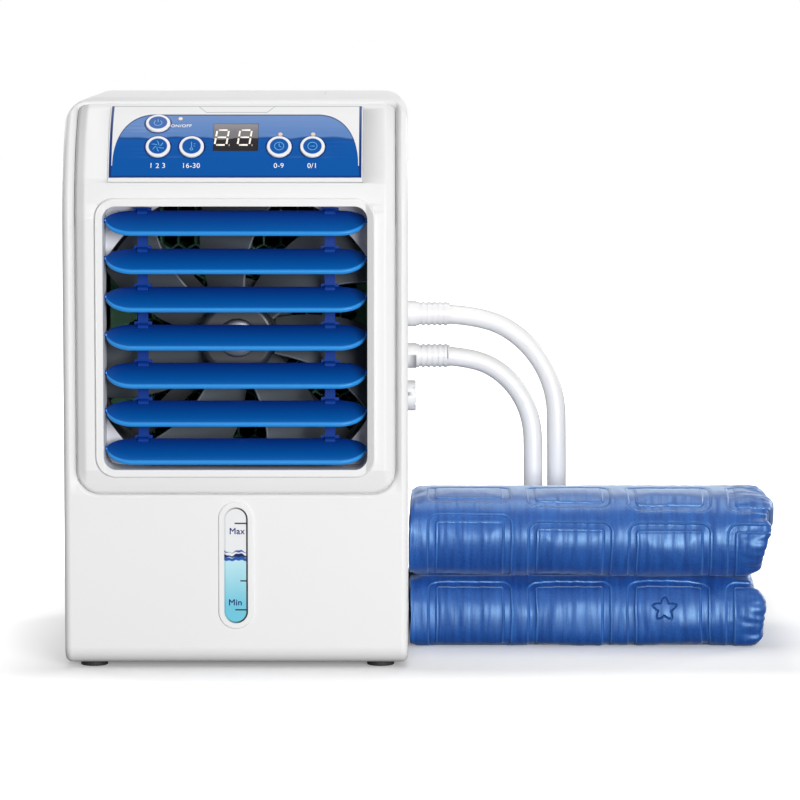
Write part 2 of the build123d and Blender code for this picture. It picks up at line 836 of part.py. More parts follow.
def build_duct():
    """The round duct behind the louver, with the square flange that fills its corners."""
    flange = Pos(0, fan_height) * RectangleRounded(2 * duct_flange, 2 * duct_flange, louver_corner)
    duct = along_y(flange, collar_rear, collar_rear + duct_flange_thickness)
    duct += fan_rod(collar_rear, duct_length, duct_radius + duct_wall)
    return duct - fan_rod(collar_rear - 1, duct_length + 2, duct_radius)


def build_bracket():
    """The spider on the duct's rear edge that carries the motor."""
    inner = duct_radius - 2
    bracket = fan_rod(duct_rear, bracket_thickness, duct_radius + duct_wall)
    bracket -= fan_rod(duct_rear - 1, bracket_thickness + 2, inner)
    bracket += fan_rod(duct_rear, bracket_thickness, motor_radius + 2)
    for arm in range(bracket_arms):
        turn = 45 + arm * 360 / bracket_arms
        bar = Pos(0, duct_rear + bracket_thickness / 2, fan_height) * Rot(0, turn, 0)
        length = inner + duct_wall
        bracket += bar * Pos(length / 2, 0, 0) * Box(length, bracket_thickness, bracket_arm_width)
    return bracket - fan_rod(duct_rear - 1, bracket_thickness + 2, motor_boss_radius + running_gap)


def build_motor():
    """The fan motor, with a boss in the bracket's hole and a bore for the shaft."""
    rear = duct_rear + bracket_thickness
    motor = fan_rod(rear, motor_length, motor_radius)
    motor = fillet(motor.edges().sort_by(Axis.Y)[-1], 4)
    motor += fan_rod(duct_rear, bracket_thickness, motor_boss_radius)
    return motor - fan_rod(duct_rear - 1, bracket_thickness + motor_bore_depth + 1, shaft_radius + running_gap)


def blade_section(radius, chord, pitch, lead):
    """A blade's section at one radius, square to the radius."""
    middle = hub_front + hub_length / 2
    turned = Rot(0, lead, 0)
    plane = Plane(origin=(radius, 0, 0), x_dir=(0, 1, 0), z_dir=(1, 0, 0))
    section = plane * Rot(0, 0, 90 - pitch) * RectangleRounded(chord, blade_thickness, blade_thickness * 0.45)
    return Pos(0, middle, fan_height) * turned * section


hub_front = collar_rear + hub_setback


def build_rotor():
    """The hub with its swept, twisted blades and a bore for the shaft."""
    rotor = fan_rod(hub_front, hub_length, hub_radius)
    rotor = fillet(rotor.edges().sort_by(Axis.Y)[0], 4)
    rotor -= fan_rod(hub_front + 2 * hub_wall, hub_length, hub_radius - hub_wall)
    rotor += fan_rod(hub_front + hub_wall, hub_length - 2 * hub_wall, shaft_radius + 2 * hub_wall)
    rotor -= fan_rod(hub_front - 1, cap_height / 2 + 1, cap_radius + running_gap)
    tip = duct_radius - blade_gap
    middle_radius = (hub_radius + tip) / 2
    sections = [
        (hub_radius - hub_wall / 2, blade_root_chord, blade_root_pitch, 0),
        (middle_radius, (blade_root_chord + blade_tip_chord) / 2, (blade_root_pitch + blade_tip_pitch) / 2,
         blade_sweep * 0.35),
        (tip, blade_tip_chord, blade_tip_pitch, blade_sweep),
    ]
    blade = loft([blade_section(*section).face() for section in sections])
    blade &= fan_rod(collar_rear, duct_length, tip)
    for number in range(blade_count):
        turn = Pos(0, 0, fan_height) * Rot(0, number * 360 / blade_count, 0) * Pos(0, 0, -fan_height)
        rotor += turn * blade
    return rotor - fan_rod(hub_front + cap_height, hub_length, shaft_radius)


def build_hub_cap():
    """The bright cap in the hub's face."""
    cap = fan_rod(hub_front - cap_height / 2, cap_height, cap_radius)
    return fillet(cap.edges().sort_by(Axis.Y)[0], cap_height / 3)


def build_shaft():
    """The steel shaft from the hub into the motor."""
    start = hub_front + cap_height
    end = duct_rear + bracket_thickness + motor_bore_depth - seat_gap
    return fan_rod(start, end - start, shaft_radius)


parts["fan_duct"] = build_duct()
parts["motor_bracket"] = build_bracket()
parts["fan_motor"] = build_motor()
parts["fan_rotor"] = build_rotor()
parts["fan_hub_cap"] = build_hub_cap()
parts["fan_shaft"] = build_shaft()


def build_ion_generator():
    """A small box with two needles in a corner behind the duct's flange."""
    x, z = ion_corner, fan_height + ion_corner
    y = collar_rear + duct_flange_thickness
    half_x, half_z = ion_width / 2, ion_height / 2
    body = box((x - half_x, x + half_x), (y, y + ion_depth), (z - half_z, z + half_z))
    for side in (-1, 1):
        body += rod((x + side * half_x / 2, y + ion_depth, z), (0, 1, 0), ion_depth / 3, running_gap * 10)
    return body


parts["ion_generator"] = build_ion_generator()


# Curtain, tray and fill lid

def build_curtain():
    """The honeycomb curtain that stands in the tank and is wetted from the tray."""
    low, high = tank_floor + tank_wall, tray_bottom - seat_gap
    front = plate((-curtain_half_width, curtain_half_width), (low, high), 3)
    inner_x = curtain_half_width - curtain_frame
    field = plate((-inner_x, inner_x), (low + curtain_frame, high - curtain_frame), 1)
    step_x = 2 * cell_radius * cos(radians(30)) + cell_wall
    step_z = step_x * sin(radians(60))
    columns = int(2 * inner_x / step_x) - 1
    rows = int((high - low - 2 * curtain_frame) / step_z) - 1
    cells = []
    for row in range(rows):
        shift = step_x / 4 if row % 2 else -step_x / 4
        z = (low + high) / 2 + (row - (rows - 1) / 2) * step_z
        for column in range(columns):
            x = (column - (columns - 1) / 2) * step_x + shift
            cells.append(Pos(x, z) * RegularPolygon(cell_radius, 6, rotation=30))
    holes = along_y(Sketch() + cells, curtain_front - 1, curtain_front + curtain_depth + 1)
    return along_y(front, curtain_front, curtain_front + curtain_depth) - holes


def tray_reach():
    """The tray's half width and its front and rear, outside its walls."""
    return (
        mouth_width / 2 + mouth_ledge + tray_wall,
        curtain_front - tray_wall,
        mouth_back + hinge_back + hinge_knuckle_radius + 2 * tray_wall,
    )


def build_tray():
    """The tray under the fill mouth, with drip holes over the curtain and a ledge for the lid."""
    half, near, far = tray_reach()
    top = unit_height - wall
    tray = box((-half, half), (near, far), (tray_bottom, top))
    tray -= box((-half + tray_wall, half - tray_wall), (near + tray_wall, far - tray_wall),
                (tray_bottom + tray_wall, top + 1))
    ledge_low = unit_height - lid_thickness - tray_wall
    ledge = box((-half, half), (near, mouth_back - seat_gap), (ledge_low, unit_height - lid_thickness - running_gap))
    inner_x = mouth_width / 2 - mouth_ledge
    ledge -= box((-inner_x, inner_x), (mouth_front + mouth_ledge, far), (tray_bottom, unit_height))
    tray += ledge & box((-half, half), (near, far), (tray_bottom, top))
    holes = int((2 * half - 4 * tray_wall) / tray_hole_pitch)
    for number in range(holes):
        x = (number - (holes - 1) / 2) * tray_hole_pitch
        y = curtain_front + curtain_depth / 2
        tray -= rod((x, y, tray_bottom - 1), (0, 0, 1), 2 * tray_wall, tray_hole_radius)
    for x, length in hinge_bosses():
        tray += hinge_boss(x, length, hinge_pin_radius + running_gap / 4)
    return tray


def hinge_axis():
    """The lid's pin, as its Y and Z."""
    return mouth_back + hinge_back, unit_height - hinge_drop


def hinge_bosses():
    """The start and width of each boss that holds the pin: both ends and the middle."""
    end = hinge_width / 2
    width = (hinge_width - 2 * hinge_lug_width) / 3 - 2 * seat_gap
    return [(-end, width), (-width / 2, width), (end - width, width)]


def hinge_boss(x, length, bore):
    """A block on the tray's rear wall with a hole for the pin."""
    y, z = hinge_axis()
    reach = hinge_knuckle_radius
    low = z - 3 * reach
    block = box((x, x + length), (y - reach, y + reach), (low, z + reach))
    block += box((x, x + length), (y - reach, y + reach + tray_wall), (low, unit_height - wall))
    return block - rod((x - 1, y, z), (1, 0, 0), length + 2, bore)


def build_lid():
    """The fill lid, flush with the top, with two lugs on the hinge pin and a finger dip."""
    half = mouth_width / 2 - panel_gap
    near, far = mouth_front + panel_gap, mouth_back - hinge_gap
    plan = Pos(0, (near + far) / 2) * RectangleRounded(2 * half, far - near, mouth_corner - panel_gap)
    lid = along_z(plan, unit_height - lid_thickness, unit_height)
    y, z = hinge_axis()
    reach = hinge_knuckle_radius
    width = (hinge_width - 2 * hinge_lug_width) / 3
    for x in (-width / 2 - hinge_lug_width, width / 2):
        xs = (x + seat_gap, x + hinge_lug_width - seat_gap)
        lug = box(xs, (far - 2 * reach, y), (unit_height - lid_thickness, unit_height))
        lug += rod((xs[0], y, z), (1, 0, 0), xs[1] - xs[0], reach)
        lid += lug - rod((xs[0] - 1, y, z), (1, 0, 0), hinge_lug_width + 2, hinge_pin_radius + running_gap)
    dip = Pos(0, near + 2, unit_height + 6) * Sphere(7.5)
    return lid - dip


def build_hinge_pin():
    """The lid's steel pin."""
    y, z = hinge_axis()
    return rod((-hinge_width / 2, y, z), (1, 0, 0), hinge_width, hinge_pin_radius)


parts["cooling_curtain"] = build_curtain()
parts["drip_tray"] = build_tray()
parts["fill_lid"] = build_lid()
parts["lid_hinge_pin"] = build_hinge_pin()


# Tank, pump and pipes

def build_tank():
    """The open water tank in the base."""
    near = front_y + wall + window_flange_thickness + seat_gap
    tank = box((-tank_half_width, tank_half_width), (near, tank_rear), (tank_floor, tank_top))
    uprights = tank.edges().filter_by(Axis.Z)
    tank = fillet(uprights, side_round)
    inner_x = tank_half_width - tank_wall
    inner = box((-inner_x, inner_x), (near + tank_wall, tank_rear - tank_wall), (tank_floor + tank_wall, tank_top + 1))
    return tank - fillet(inner.edges().filter_by(Axis.Z), side_round - tank_wall)


def build_window():
    """The clear level window, pushed into its slot from inside."""
    face = upright_slot(window_width - 2 * running_gap, window_height - 2 * running_gap, window_middle)
    flange = upright_slot(window_width + 2 * window_flange, window_height + 2 * window_flange, window_middle)
    rear = front_y + wall
    window = along_y(face, front_y - window_proud / 2, rear)
    return window + along_y(flange, rear, rear + window_flange_thickness)


pump_floor = tank_floor + tank_wall
pump_top = pump_floor + pump_height
pump_x, pump_y = pump_middle
riser_x = pump_x + riser_offset[0]
riser_y = pump_y + riser_offset[1]
chamber_radius = impeller_radius + impeller_gap


def pump_rod(z, length, radius):
    """A round bar on the impeller's axis, from z upwards."""
    return rod((pump_x, pump_y, z), (0, 0, 1), length, radius)


def build_pump_body():
    """The pump's block with its impeller chamber and outlet."""
    half_x, half_y = pump_width / 2, pump_depth / 2
    chamber_low = pump_floor + pump_cover_thickness
    body = box((pump_x - half_x, pump_x + half_x), (pump_y - half_y, pump_y + half_y), (chamber_low, pump_top))
    body = fillet(body.edges().filter_by(Axis.Z), 3)
    chamber_height = impeller_height + 2 * impeller_gap
    body -= pump_rod(chamber_low - 1, chamber_height + 1, chamber_radius)
    bore = impeller_shaft_radius + running_gap
    body -= pump_rod(chamber_low, chamber_height + pump_motor_pocket, bore)
    middle = chamber_low + chamber_height / 2
    body -= rod((riser_x, riser_y, middle), (0, 0, 1), pump_height, riser_bore)
    body -= rod((riser_x, riser_y, pump_top - riser_socket), (0, 0, 1), pump_height, riser_radius + running_gap / 2)
    reach = hypot(riser_x - pump_x, riser_y - pump_y)
    way = Vector(riser_x - pump_x, riser_y - pump_y, 0) / reach
    return body - rod((pump_x, pump_y, middle), way, reach, riser_bore / 2)


def build_pump_cover():
    """The plate under the pump, with its inlet slots."""
    half_x, half_y = pump_width / 2, pump_depth / 2
    cover = box((pump_x - half_x, pump_x + half_x), (pump_y - half_y, pump_y + half_y),
                (pump_floor, pump_floor + pump_cover_thickness))
    cover = fillet(cover.edges().filter_by(Axis.Z), 3)
    slots = pump_depth / 2 - pump_wall
    for turn in (0, 60, 120):
        slot = Pos(pump_x, pump_y, pump_floor) * Rot(0, 0, turn) * Box(2 * slots, pump_wall / 2, 3 * pump_cover_thickness)
        cover -= slot - pump_rod(pump_floor - pump_height, 2 * pump_height, pump_inlet_radius)
    return cover


def build_impeller():
    """The impeller with its vanes and shaft."""
    low = pump_floor + pump_cover_thickness + impeller_gap
    disc = impeller_height / 3
    wheel = pump_rod(low + impeller_height - disc, disc, impeller_radius)
    wheel += pump_rod(low, impeller_height, 2 * impeller_shaft_radius)
    for number in range(impeller_vanes):
        turn = Rot(0, 0, number * 360 / impeller_vanes)
        vane = Box(impeller_radius, 1.2, impeller_height, align=(Align.MIN, Align.CENTER, Align.MIN))
        wheel += Pos(pump_x, pump_y, low) * turn * vane & pump_rod(low, impeller_height, impeller_radius)
    shaft = impeller_height + impeller_gap + pump_motor_pocket - seat_gap
    return wheel + pump_rod(low, shaft, impeller_shaft_radius)


def manifold_low():
    """The underside of the manifold."""
    return drain_port_z - manifold_margin


def build_riser():
    """The rigid pipe from the pump up to the manifold."""
    low = pump_top - riser_socket
    high = manifold_low() + riser_socket
    pipe = rod((riser_x, riser_y, low), (0, 0, 1), high - low, riser_radius)
    return pipe - rod((riser_x, riser_y, low - 1), (0, 0, 1), high - low + 2, riser_bore)


def build_ports():
    """The manifold behind the side wall: two hose ports, a way for the riser and a return pipe."""
    inner = side_x - wall
    low, high = manifold_low(), supply_port_z + manifold_margin
    half = manifold_width / 2
    block = box((inner - manifold_depth, inner), (port_y - half, port_y + half), (low, high))
    block = fillet(block.edges().filter_by(Axis.Z), 3)
    block += box((riser_x - 2 * riser_bore, inner - manifold_depth + 1),
                 (riser_y - 2 * riser_bore, riser_y + 2 * riser_bore), (low, low + 3 * riser_socket))
    block -= rod((riser_x, riser_y, low - 1), (0, 0, 1), riser_socket + 1, riser_radius + running_gap / 2)
    block -= rod((riser_x, riser_y, low), (0, 0, 1), 2 * riser_socket, riser_bore)
    for z in (supply_port_z, return_port_z):
        block += rod((inner, port_y, z), (1, 0, 0), wall + port_collar_length, port_collar_radius)
        nipple = side_x + port_collar_length
        block += rod((nipple, port_y, z), (1, 0, 0), nipple_length, nipple_radius)
        block -= rod((inner - manifold_depth / 2, port_y, z), (1, 0, 0), manifold_depth * 2, port_bore)
    pipe_x = inner - manifold_depth / 2
    pipe = rod((pipe_x, port_y - half / 2, return_pipe_z), (0, 0, 1), low - return_pipe_z, riser_radius)
    block += pipe
    block -= rod((pipe_x, port_y - half / 2, return_pipe_z - 1), (0, 0, 1), return_port_z - return_pipe_z, riser_bore)
    block -= rod((inner - manifold_depth / 2, port_y, drain_port_z), (1, 0, 0), manifold_depth, plug_socket_radius)
    return block


plug_socket_radius = plug_head_radius - 2.4


def build_drain_port():
    """The bush in the side wall that the round plug closes."""
    inner = side_x - wall
    start = inner - manifold_depth / 2 + seat_gap
    bush = rod((start, port_y, drain_port_z), (1, 0, 0), side_x - start, plug_socket_radius - running_gap)
    bush += rod((inner, port_y, drain_port_z), (1, 0, 0), wall, plug_head_radius - 1 - panel_gap)
    return bush - rod((start + wall, port_y, drain_port_z), (1, 0, 0), manifold_depth, drain_bore)


def build_drain_plug():
    """The round plug: a head with a grip bar and a stem in the bush."""
    face = side_x + seat_gap
    plug = rod((face, port_y, drain_port_z), (1, 0, 0), plug_head_length, plug_head_radius)
    plug = fillet(plug.edges().sort_by(Axis.X)[-1], 1)
    stem = face - plug_stem_length
    plug += rod((stem, port_y, drain_port_z), (1, 0, 0), plug_stem_length, drain_bore - running_gap)
    for side in (-1, 1):
        y = port_y + side * plug_head_radius * 0.6
        half = plug_head_radius * 0.25
        outer = (face + plug_head_length - plug_grip_depth, face + plug_head_length + 1)
        height = (drain_port_z - plug_head_radius * 0.6, drain_port_z + plug_head_radius * 0.6)
        plug -= box(outer, (y - half, y + half), height)
    return plug


hose_start = side_x + port_collar_length + nipple_length


def build_cuffs():
    """The two ribbed sleeves over the hoses' ends."""
    cuffs = []
    start = side_x + port_collar_length
    for z in (supply_port_z, return_port_z):
        cuff = rod((start, port_y, z), (1, 0, 0), cuff_length, cuff_radius - cuff_rib)
        step = cuff_length / cuff_rib_count
        for number in range(cuff_rib_count):
            cuff += rod((start + number * step, port_y, z), (1, 0, 0), step / 2, cuff_radius)
        cuff -= rod((start - 1, port_y, z), (1, 0, 0), cuff_length + 2, hose_diameter / 2 + running_gap)
        cuffs.append(cuff)
    return Compound(children=cuffs)


def build_power_inlet():
    """The two-pin inlet in the rear cover, with a rim, a recess and its pins."""
    xs, zs = inlet_box(0)
    x, z = inlet_middle
    body = box(xs, (rear_y - inlet_depth, rear_y), zs)
    half = inlet_width / 2 + inlet_rim
    high = inlet_height / 2 + inlet_rim
    body += box((x - half, x + half), (rear_y, rear_y + inlet_wall / 2), (z - high, z + high))
    wide = inlet_width - 2 * inlet_wall
    tall = inlet_height - 2 * inlet_wall
    recess = Pos(x, z) * SlotOverall(wide, tall)
    body -= along_y(recess, rear_y - inlet_recess, rear_y + inlet_wall)
    for side in (-1, 1):
        start = (x + side * inlet_pin_spread, rear_y - inlet_recess - inlet_wall / 2, z)
        body += rod(start, (0, 1, 0), inlet_pin_length, inlet_pin_radius)
    return body


parts["water_tank"] = build_tank()
parts["level_window"] = build_window()
parts["pump_body"] = build_pump_body()
parts["pump_cover"] = build_pump_cover()
parts["pump_impeller"] = build_impeller()
parts["pump_riser"] = build_riser()
parts["hose_ports"] = build_ports()
parts["drain_port"] = build_drain_port()
parts["drain_plug"] = build_drain_plug()
parts["hose_cuffs"] = build_cuffs()
parts["power_inlet"] = build_power_inlet()


# Filter door

def build_door():
    """The filter door: a frame with cross bars, flush with the rear cover."""
    half = door_half_width - panel_gap
    low, high = door_low + panel_gap, door_high - panel_gap
    door = along_y(plate((-half, half), (low, high), rear_corner - panel_gap), rear_y - wall + seat_gap, rear_y)
    inner = half - door_frame
    slots = []
    z = low + door_frame
    while z + grille_slot <= high - door_frame:
        slots.append(Pos(0, z + grille_slot / 2) * SlotOverall(2 * inner, grille_slot))
        z += grille_slot + grille_bar
    return door - along_y(Sketch() + slots, rear_y - 2 * wall, rear_y + 1)


def build_filter():
    """The dust filter on the door's inner side."""
    inner = door_half_width - door_stop - 2 * panel_gap
    low, high = door_low + door_stop + 2 * panel_gap, door_high - door_stop - 2 * panel_gap
    rear = rear_y - wall + seat_gap
    return along_y(plate((-inner, inner), (low, high), rear_corner - panel_gap), rear - filter_thickness, rear)


parts["filter_door"] = build_door()
parts["dust_filter"] = build_filter()


# Folded pad and its hoses

def build_pad_fold(low, high, low_round, high_round):
    """One fold of the pad, with soft edges."""
    rear = pad_front + pad_depth
    side = Pos((pad_front + rear) / 2, (low + high) / 2) * Rectangle(pad_depth, high - low)
    lower = side.vertices().sort_by(Axis.Y)[:2]
    side = fillet(lower, low_round)
    upper = side.vertices().sort_by(Axis.Y)[-2:]
    side = fillet(upper, high_round)
    start = side_x + pad_gap
    fold = along_x(side, start, start + pad_length)
    ends = [edge for face in fold.faces().filter_by(Axis.X) for edge in face.edges()]
    return fillet(ends, pad_end)


def build_fittings():
    """The two fittings on the pad's rear edge."""
    fittings = []
    rear = pad_front + pad_depth
    for x, z in (supply_fitting, return_fitting):
        fitting = rod((x, rear, z), (0, 1, 0), fitting_flange, fitting_radius)
        fitting += rod((x, rear, z), (0, 1, 0), fitting_length, fitting_nipple)
        fittings.append(fitting)
    return Compound(children=fittings)


def bend_radii(points):
    """The arc at each corner of a route, as large as its two runs allow."""
    radii = []
    for before, corner, after in zip(points, points[1:], points[2:]):
        first, second = Vector(corner) - Vector(before), Vector(after) - Vector(corner)
        turn = radians(first.get_angle(second))
        radii.append(0.45 * min(first.length, second.length) / tan(turn / 2))
    return radii


def build_hose(name, points):
    """A plain round hose along straight runs joined by tangent arcs."""
    radii = bend_radii(points)
    path = FilletPolyline(*points, radius=radii)
    first = Vector(points[1]) - Vector(points[0])
    section = Plane(origin=points[0], z_dir=first) * Circle(hose_diameter / 2)
    tube = sweep(section, path=path)
    share = tube.volume / (pi * hose_diameter ** 2 / 4 * path.length)
    print(f"{name}: length {path.length:.0f}, radii {[round(radius) for radius in radii]}, volume share {share:.4f}")
    return tube


def build_coil(middle, low):
    """The outer shape of a neat coil: a ring as high as its layers."""
    centre = (middle[0], middle[1], low)
    ring = rod(centre, (0, 0, 1), coil_layers * hose_diameter, coil_radius + hose_diameter / 2)
    return ring - rod(centre, (0, 0, 1), coil_layers * hose_diameter, coil_radius - hose_diameter / 2)


return_coil_low = 0.0
supply_coil_low = coil_layers * hose_diameter + coil_gap
fitting_tip = pad_front + pad_depth + fitting_length

supply_line = supply_coil_middle[0] - coil_radius
return_line = return_coil_middle[0] - coil_radius
coil_y = supply_coil_middle[1]
supply_low = supply_coil_low + hose_diameter / 2
supply_high = supply_low + hose_diameter
return_low = return_coil_low + hose_diameter / 2
return_high = return_low + hose_diameter
supply_lead = [
    (hose_start, port_y, supply_port_z),
    (hose_start + 33.9, port_y, supply_port_z),
    (supply_line - 17.7, port_y + 0.4, supply_port_z - 17.2),
    (supply_line - 0.6, port_y + 1, supply_port_z - 46.9),
    (supply_line - 0.1, port_y - 0.6, supply_port_z - 81.5),
    (supply_line, port_y + 1.6, supply_low + 44.7),
    (supply_line, port_y + 17.6, supply_low + 16.3),
    (supply_line, coil_y - 32, supply_low),
    (supply_line, coil_y, supply_low),
]
return_lead = [
    (hose_start, port_y, return_port_z),
    (hose_start + 28.1, port_y, return_port_z),
    (return_line - 14.1, port_y + 0.3, return_port_z - 14),
    (return_line - 0.2, port_y + 1, return_port_z - 38.3),
    (return_line + 0.2, port_y - 0.6, return_port_z - 70.2),
    (return_line, port_y + 1.4, return_high + 44),
    (return_line, port_y + 17.4, return_high + 16.2),
    (return_line, coil_y - 32, return_high),
    (return_line, coil_y, return_high),
]
supply_end = supply_coil_middle[0] + coil_radius
return_end = return_coil_middle[0] + coil_radius
supply_tail = [
    (supply_end, coil_y, supply_high),
    (supply_end, coil_y - 26, supply_high),
    (supply_fitting[0], coil_y - 52, supply_fitting[1]),
    (supply_fitting[0], fitting_tip, supply_fitting[1]),
]
return_tail = [
    (return_end, coil_y, return_low),
    (return_end, coil_y - 26, return_low),
    (return_fitting[0], coil_y - 52, return_fitting[1]),
    (return_fitting[0], fitting_tip, return_fitting[1]),
]

parts["pad_lower_fold"] = build_pad_fold(0, pad_seam, pad_edge, pad_edge)
parts["pad_upper_fold"] = build_pad_fold(pad_seam + seat_gap, pad_height, pad_edge, pad_crown)
parts["pad_fittings"] = build_fittings()
parts["hose_supply_lead"] = build_hose("hose_supply_lead", supply_lead)
parts["hose_supply_coil"] = build_coil(supply_coil_middle, supply_coil_low)
parts["hose_supply_tail"] = build_hose("hose_supply_tail", supply_tail)
parts["hose_return_lead"] = build_hose("hose_return_lead", return_lead)
parts["hose_return_coil"] = build_coil(return_coil_middle, return_coil_low)
parts["hose_return_tail"] = build_hose("hose_return_tail", return_tail)

os.makedirs("parts", exist_ok=True)
for name, shape in parts.items():
    export_step(shape, f"parts/{name}.step")
print(len(parts), "sub-parts written")
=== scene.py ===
# Water cooling mattress pad: finish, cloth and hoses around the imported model.
# Metres, in the model's own frame: X to the right, Y to the back, Z up.
from contextlib import contextmanager
from math import cos, pi, radians, sin

import bpy
import numpy as np
from mathutils import Matrix, Vector, noise


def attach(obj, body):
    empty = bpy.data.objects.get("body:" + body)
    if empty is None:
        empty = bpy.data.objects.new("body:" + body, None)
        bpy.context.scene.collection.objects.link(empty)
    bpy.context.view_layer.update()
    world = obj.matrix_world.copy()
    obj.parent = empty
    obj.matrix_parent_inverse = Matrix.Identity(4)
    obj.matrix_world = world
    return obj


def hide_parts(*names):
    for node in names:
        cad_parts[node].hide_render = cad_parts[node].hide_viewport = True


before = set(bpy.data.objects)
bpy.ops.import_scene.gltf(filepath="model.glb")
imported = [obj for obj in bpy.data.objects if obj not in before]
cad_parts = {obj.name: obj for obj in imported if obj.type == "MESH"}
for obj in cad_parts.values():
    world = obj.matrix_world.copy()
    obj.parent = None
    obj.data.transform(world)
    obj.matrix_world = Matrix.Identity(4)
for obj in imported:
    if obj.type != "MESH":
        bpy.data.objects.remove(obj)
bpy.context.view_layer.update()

MM = 0.001

# Sizes in millimetres and angles in degrees, most of them repeated from the model's source
brow_y = -42.5
brow_z = 258.81
film_face = 75.4
key_face = 76.2
key_ring = 5.4
bezel_half = 93.0
bezel_low = 102.4
shoulder_width = 6.0
shoulder_slope = 0.52
foot_width = 5.0
foot_slope = 0.05
foot_fade = 14.0
rim_width = 3.2
rim_slope = 0.5
rim_front = -60.0
rim_fade = 10.0
lip_width = 5.5
lip_slope = 0.6
pivot_y = -104.5
slat_pitch = 22.2
slat_heights = [194.45 + slat_pitch * (3 - row) for row in range(7)]
slat_tilt = 38.0
slat_half = 75.7
slat_end = 16.0
slat_front = 12.6
slat_rear = 8.2
slat_thick = 1.8
slat_round = 0.9
slat_bead = 1.5             # the front's thickness, as a share of the rest
# width of the painted highlight along each slat's front edge
slat_highlight_width = 1.5
pivot_radius = 1.5
pivot_length = 3.6
link_pin_radius = 1.0
link_spread = 54.5
link_arm = 6.6
notch_floor = 4.1
notch_width = 6.6
notch_depth = 10.0
cap_radius = 11.4
cap_base = -84.4
cap_dome = 2.8
fan_height = 191.0
hub_radius = 22.7
duct_front = -88.5
duct_radius = 89.5
flange_thick = 2.2
lens_face = 75.2
window_face = -118.0
window_middle = 61.0
window_straight = 27.1
water_line = 66.6
scale_line = 5.9
scale_ticks = ((85.6, -0.8), (51.9, 2.5), (34.9, -0.6))
tick_half = 0.42
key_places = {
    "power_key": (-45.5, 50.2),
    "fan_speed_key": (-45.0, 36.5),
    "thermostat_key": (-25.5, 36.5),
    "timer_key": (25.3, 36.5),
    "ion_key": (44.6, 36.5),
}
hose_diameter = 12.0

# Camera and studio, in metres, degrees and watts
camera_place = (0.09536, -2.6175, 0.4)
camera_tilt = 5.538
camera_lens = 194.99
sky_strength = 0.26
lamps = [
    ("front_light", (1.0, -2.75, 0.45), (0.05, 0, 0.16), 1.1, 77.5),
    ("top_light", (0.1, 0.4, 1.7), (0.1, 0, 0.1), 0.9, 9.0),
    ("right_rear_light", (2.1, 1.8, 0.9), (0.1, 0, 0.15), 1.0, 21.0),
    ("left_rear_light", (-1.9, 1.8, 0.9), (0.1, 0, 0.15), 1.0, 21.0),
]

# The floor keeps shadows in this rectangle and turns white round it, in millimetres
shadow_middle = (110.0, 60.0)
shadow_half = (210.0, 180.0)
shadow_fade = 130.0
glow_near = 0.2
glow_far = 0.95


# Small tools

def select_only(*objects):
    """Everything is deselected, then these objects are selected and the first is made active."""
    bpy.ops.object.select_all(action="DESELECT")
    for item in objects:
        item.select_set(True)
    bpy.context.view_layer.objects.active = objects[0]


@contextmanager
def whole_mesh(item):
    """Edit mode with the whole mesh selected, then object mode again."""
    select_only(item)
    bpy.ops.object.mode_set(mode="EDIT")
    bpy.ops.mesh.select_all(action="SELECT")
    yield
    bpy.ops.object.mode_set(mode="OBJECT")


def new_object(name, data):
    """An object for this data, linked to the scene."""
    item = bpy.data.objects.new(name, data)
    bpy.context.scene.collection.objects.link(item)
    return item


def apply_modifier(item, kind, **settings):
    """One modifier, set and applied."""
    select_only(item)
    modifier = item.modifiers.new(kind.lower(), kind)
    for key, value in settings.items():
        setattr(modifier, key, value)
    bpy.ops.object.modifier_apply(modifier=modifier.name)


def finish_piece(item, material, body, slot, *nodes):
    """The piece gets its material, rides on its body and stands for its nodes; slot is not used."""
    item.data.materials.clear()
    item.data.materials.append(material)
    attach(item, body)
    if nodes:
        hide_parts(*nodes)


def smooth_copy(node, name, angle=32):
    """A merged copy of a moulded node, shaded smooth over its roundings."""
    item = new_object(name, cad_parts[node].data.copy())
    item.data.materials.clear()
    with whole_mesh(item):
        bpy.ops.mesh.remove_doubles(threshold=0.000004)
        bpy.ops.mesh.dissolve_limited(angle_limit=radians(0.4))
    bpy.ops.object.shade_smooth_by_angle(angle=radians(angle))
    apply_modifier(item, "WEIGHTED_NORMAL", keep_sharp=True, weight=80)
    return item


def new_material(name, **sockets):
    """A material whose shader has these plain values on its own sockets."""
    material = bpy.data.materials.new(name)
    material.use_nodes = True
    shader = material.node_tree.nodes["Principled BSDF"]
    for socket, value in sockets.items():
        shader.inputs[socket.replace("_", " ")].default_value = value
    return material


def math_node(tree, operation, first, second=None, third=None):
    """A math node fed by sockets or plain numbers; its output is returned."""
    node = tree.nodes.new("ShaderNodeMath")
    node.operation = operation
    for slot, value in enumerate((first, second, third)):
        if value is None:
            continue
        if isinstance(value, (int, float)):
            node.inputs[slot].default_value = value
        else:
            tree.links.new(value, node.inputs[slot])
    return node.outputs[0]


def minus(tree, first, second):
    """The difference of two values."""
    return math_node(tree, "SUBTRACT", first, second)


def times(tree, first, second, third=0.0):
    """The product of two values, plus a third."""
    return math_node(tree, "MULTIPLY_ADD", first, second, third)


def away_from(tree, value, middle=0.0):
    """How far a value is from a middle, on either side."""
    return math_node(tree, "ABSOLUTE", minus(tree, value, middle))


def clamped(tree, value, scale, start=0.0):
    """A value scaled and moved, then kept between 0 and 1."""
    node = times(tree, value, scale, start)
    node.node.use_clamp = True
    return node


def soft_edge(tree, value, width):
    """0 below zero and 1 above, with a short ramp between."""
    return clamped(tree, value, 1 / width, 0.5)


def distance(tree, *offsets):
    """The length of an offset that is given by its parts."""
    total = 0.0
    for part in offsets:
        total = times(tree, part, part, total)
    return math_node(tree, "SQRT", total)


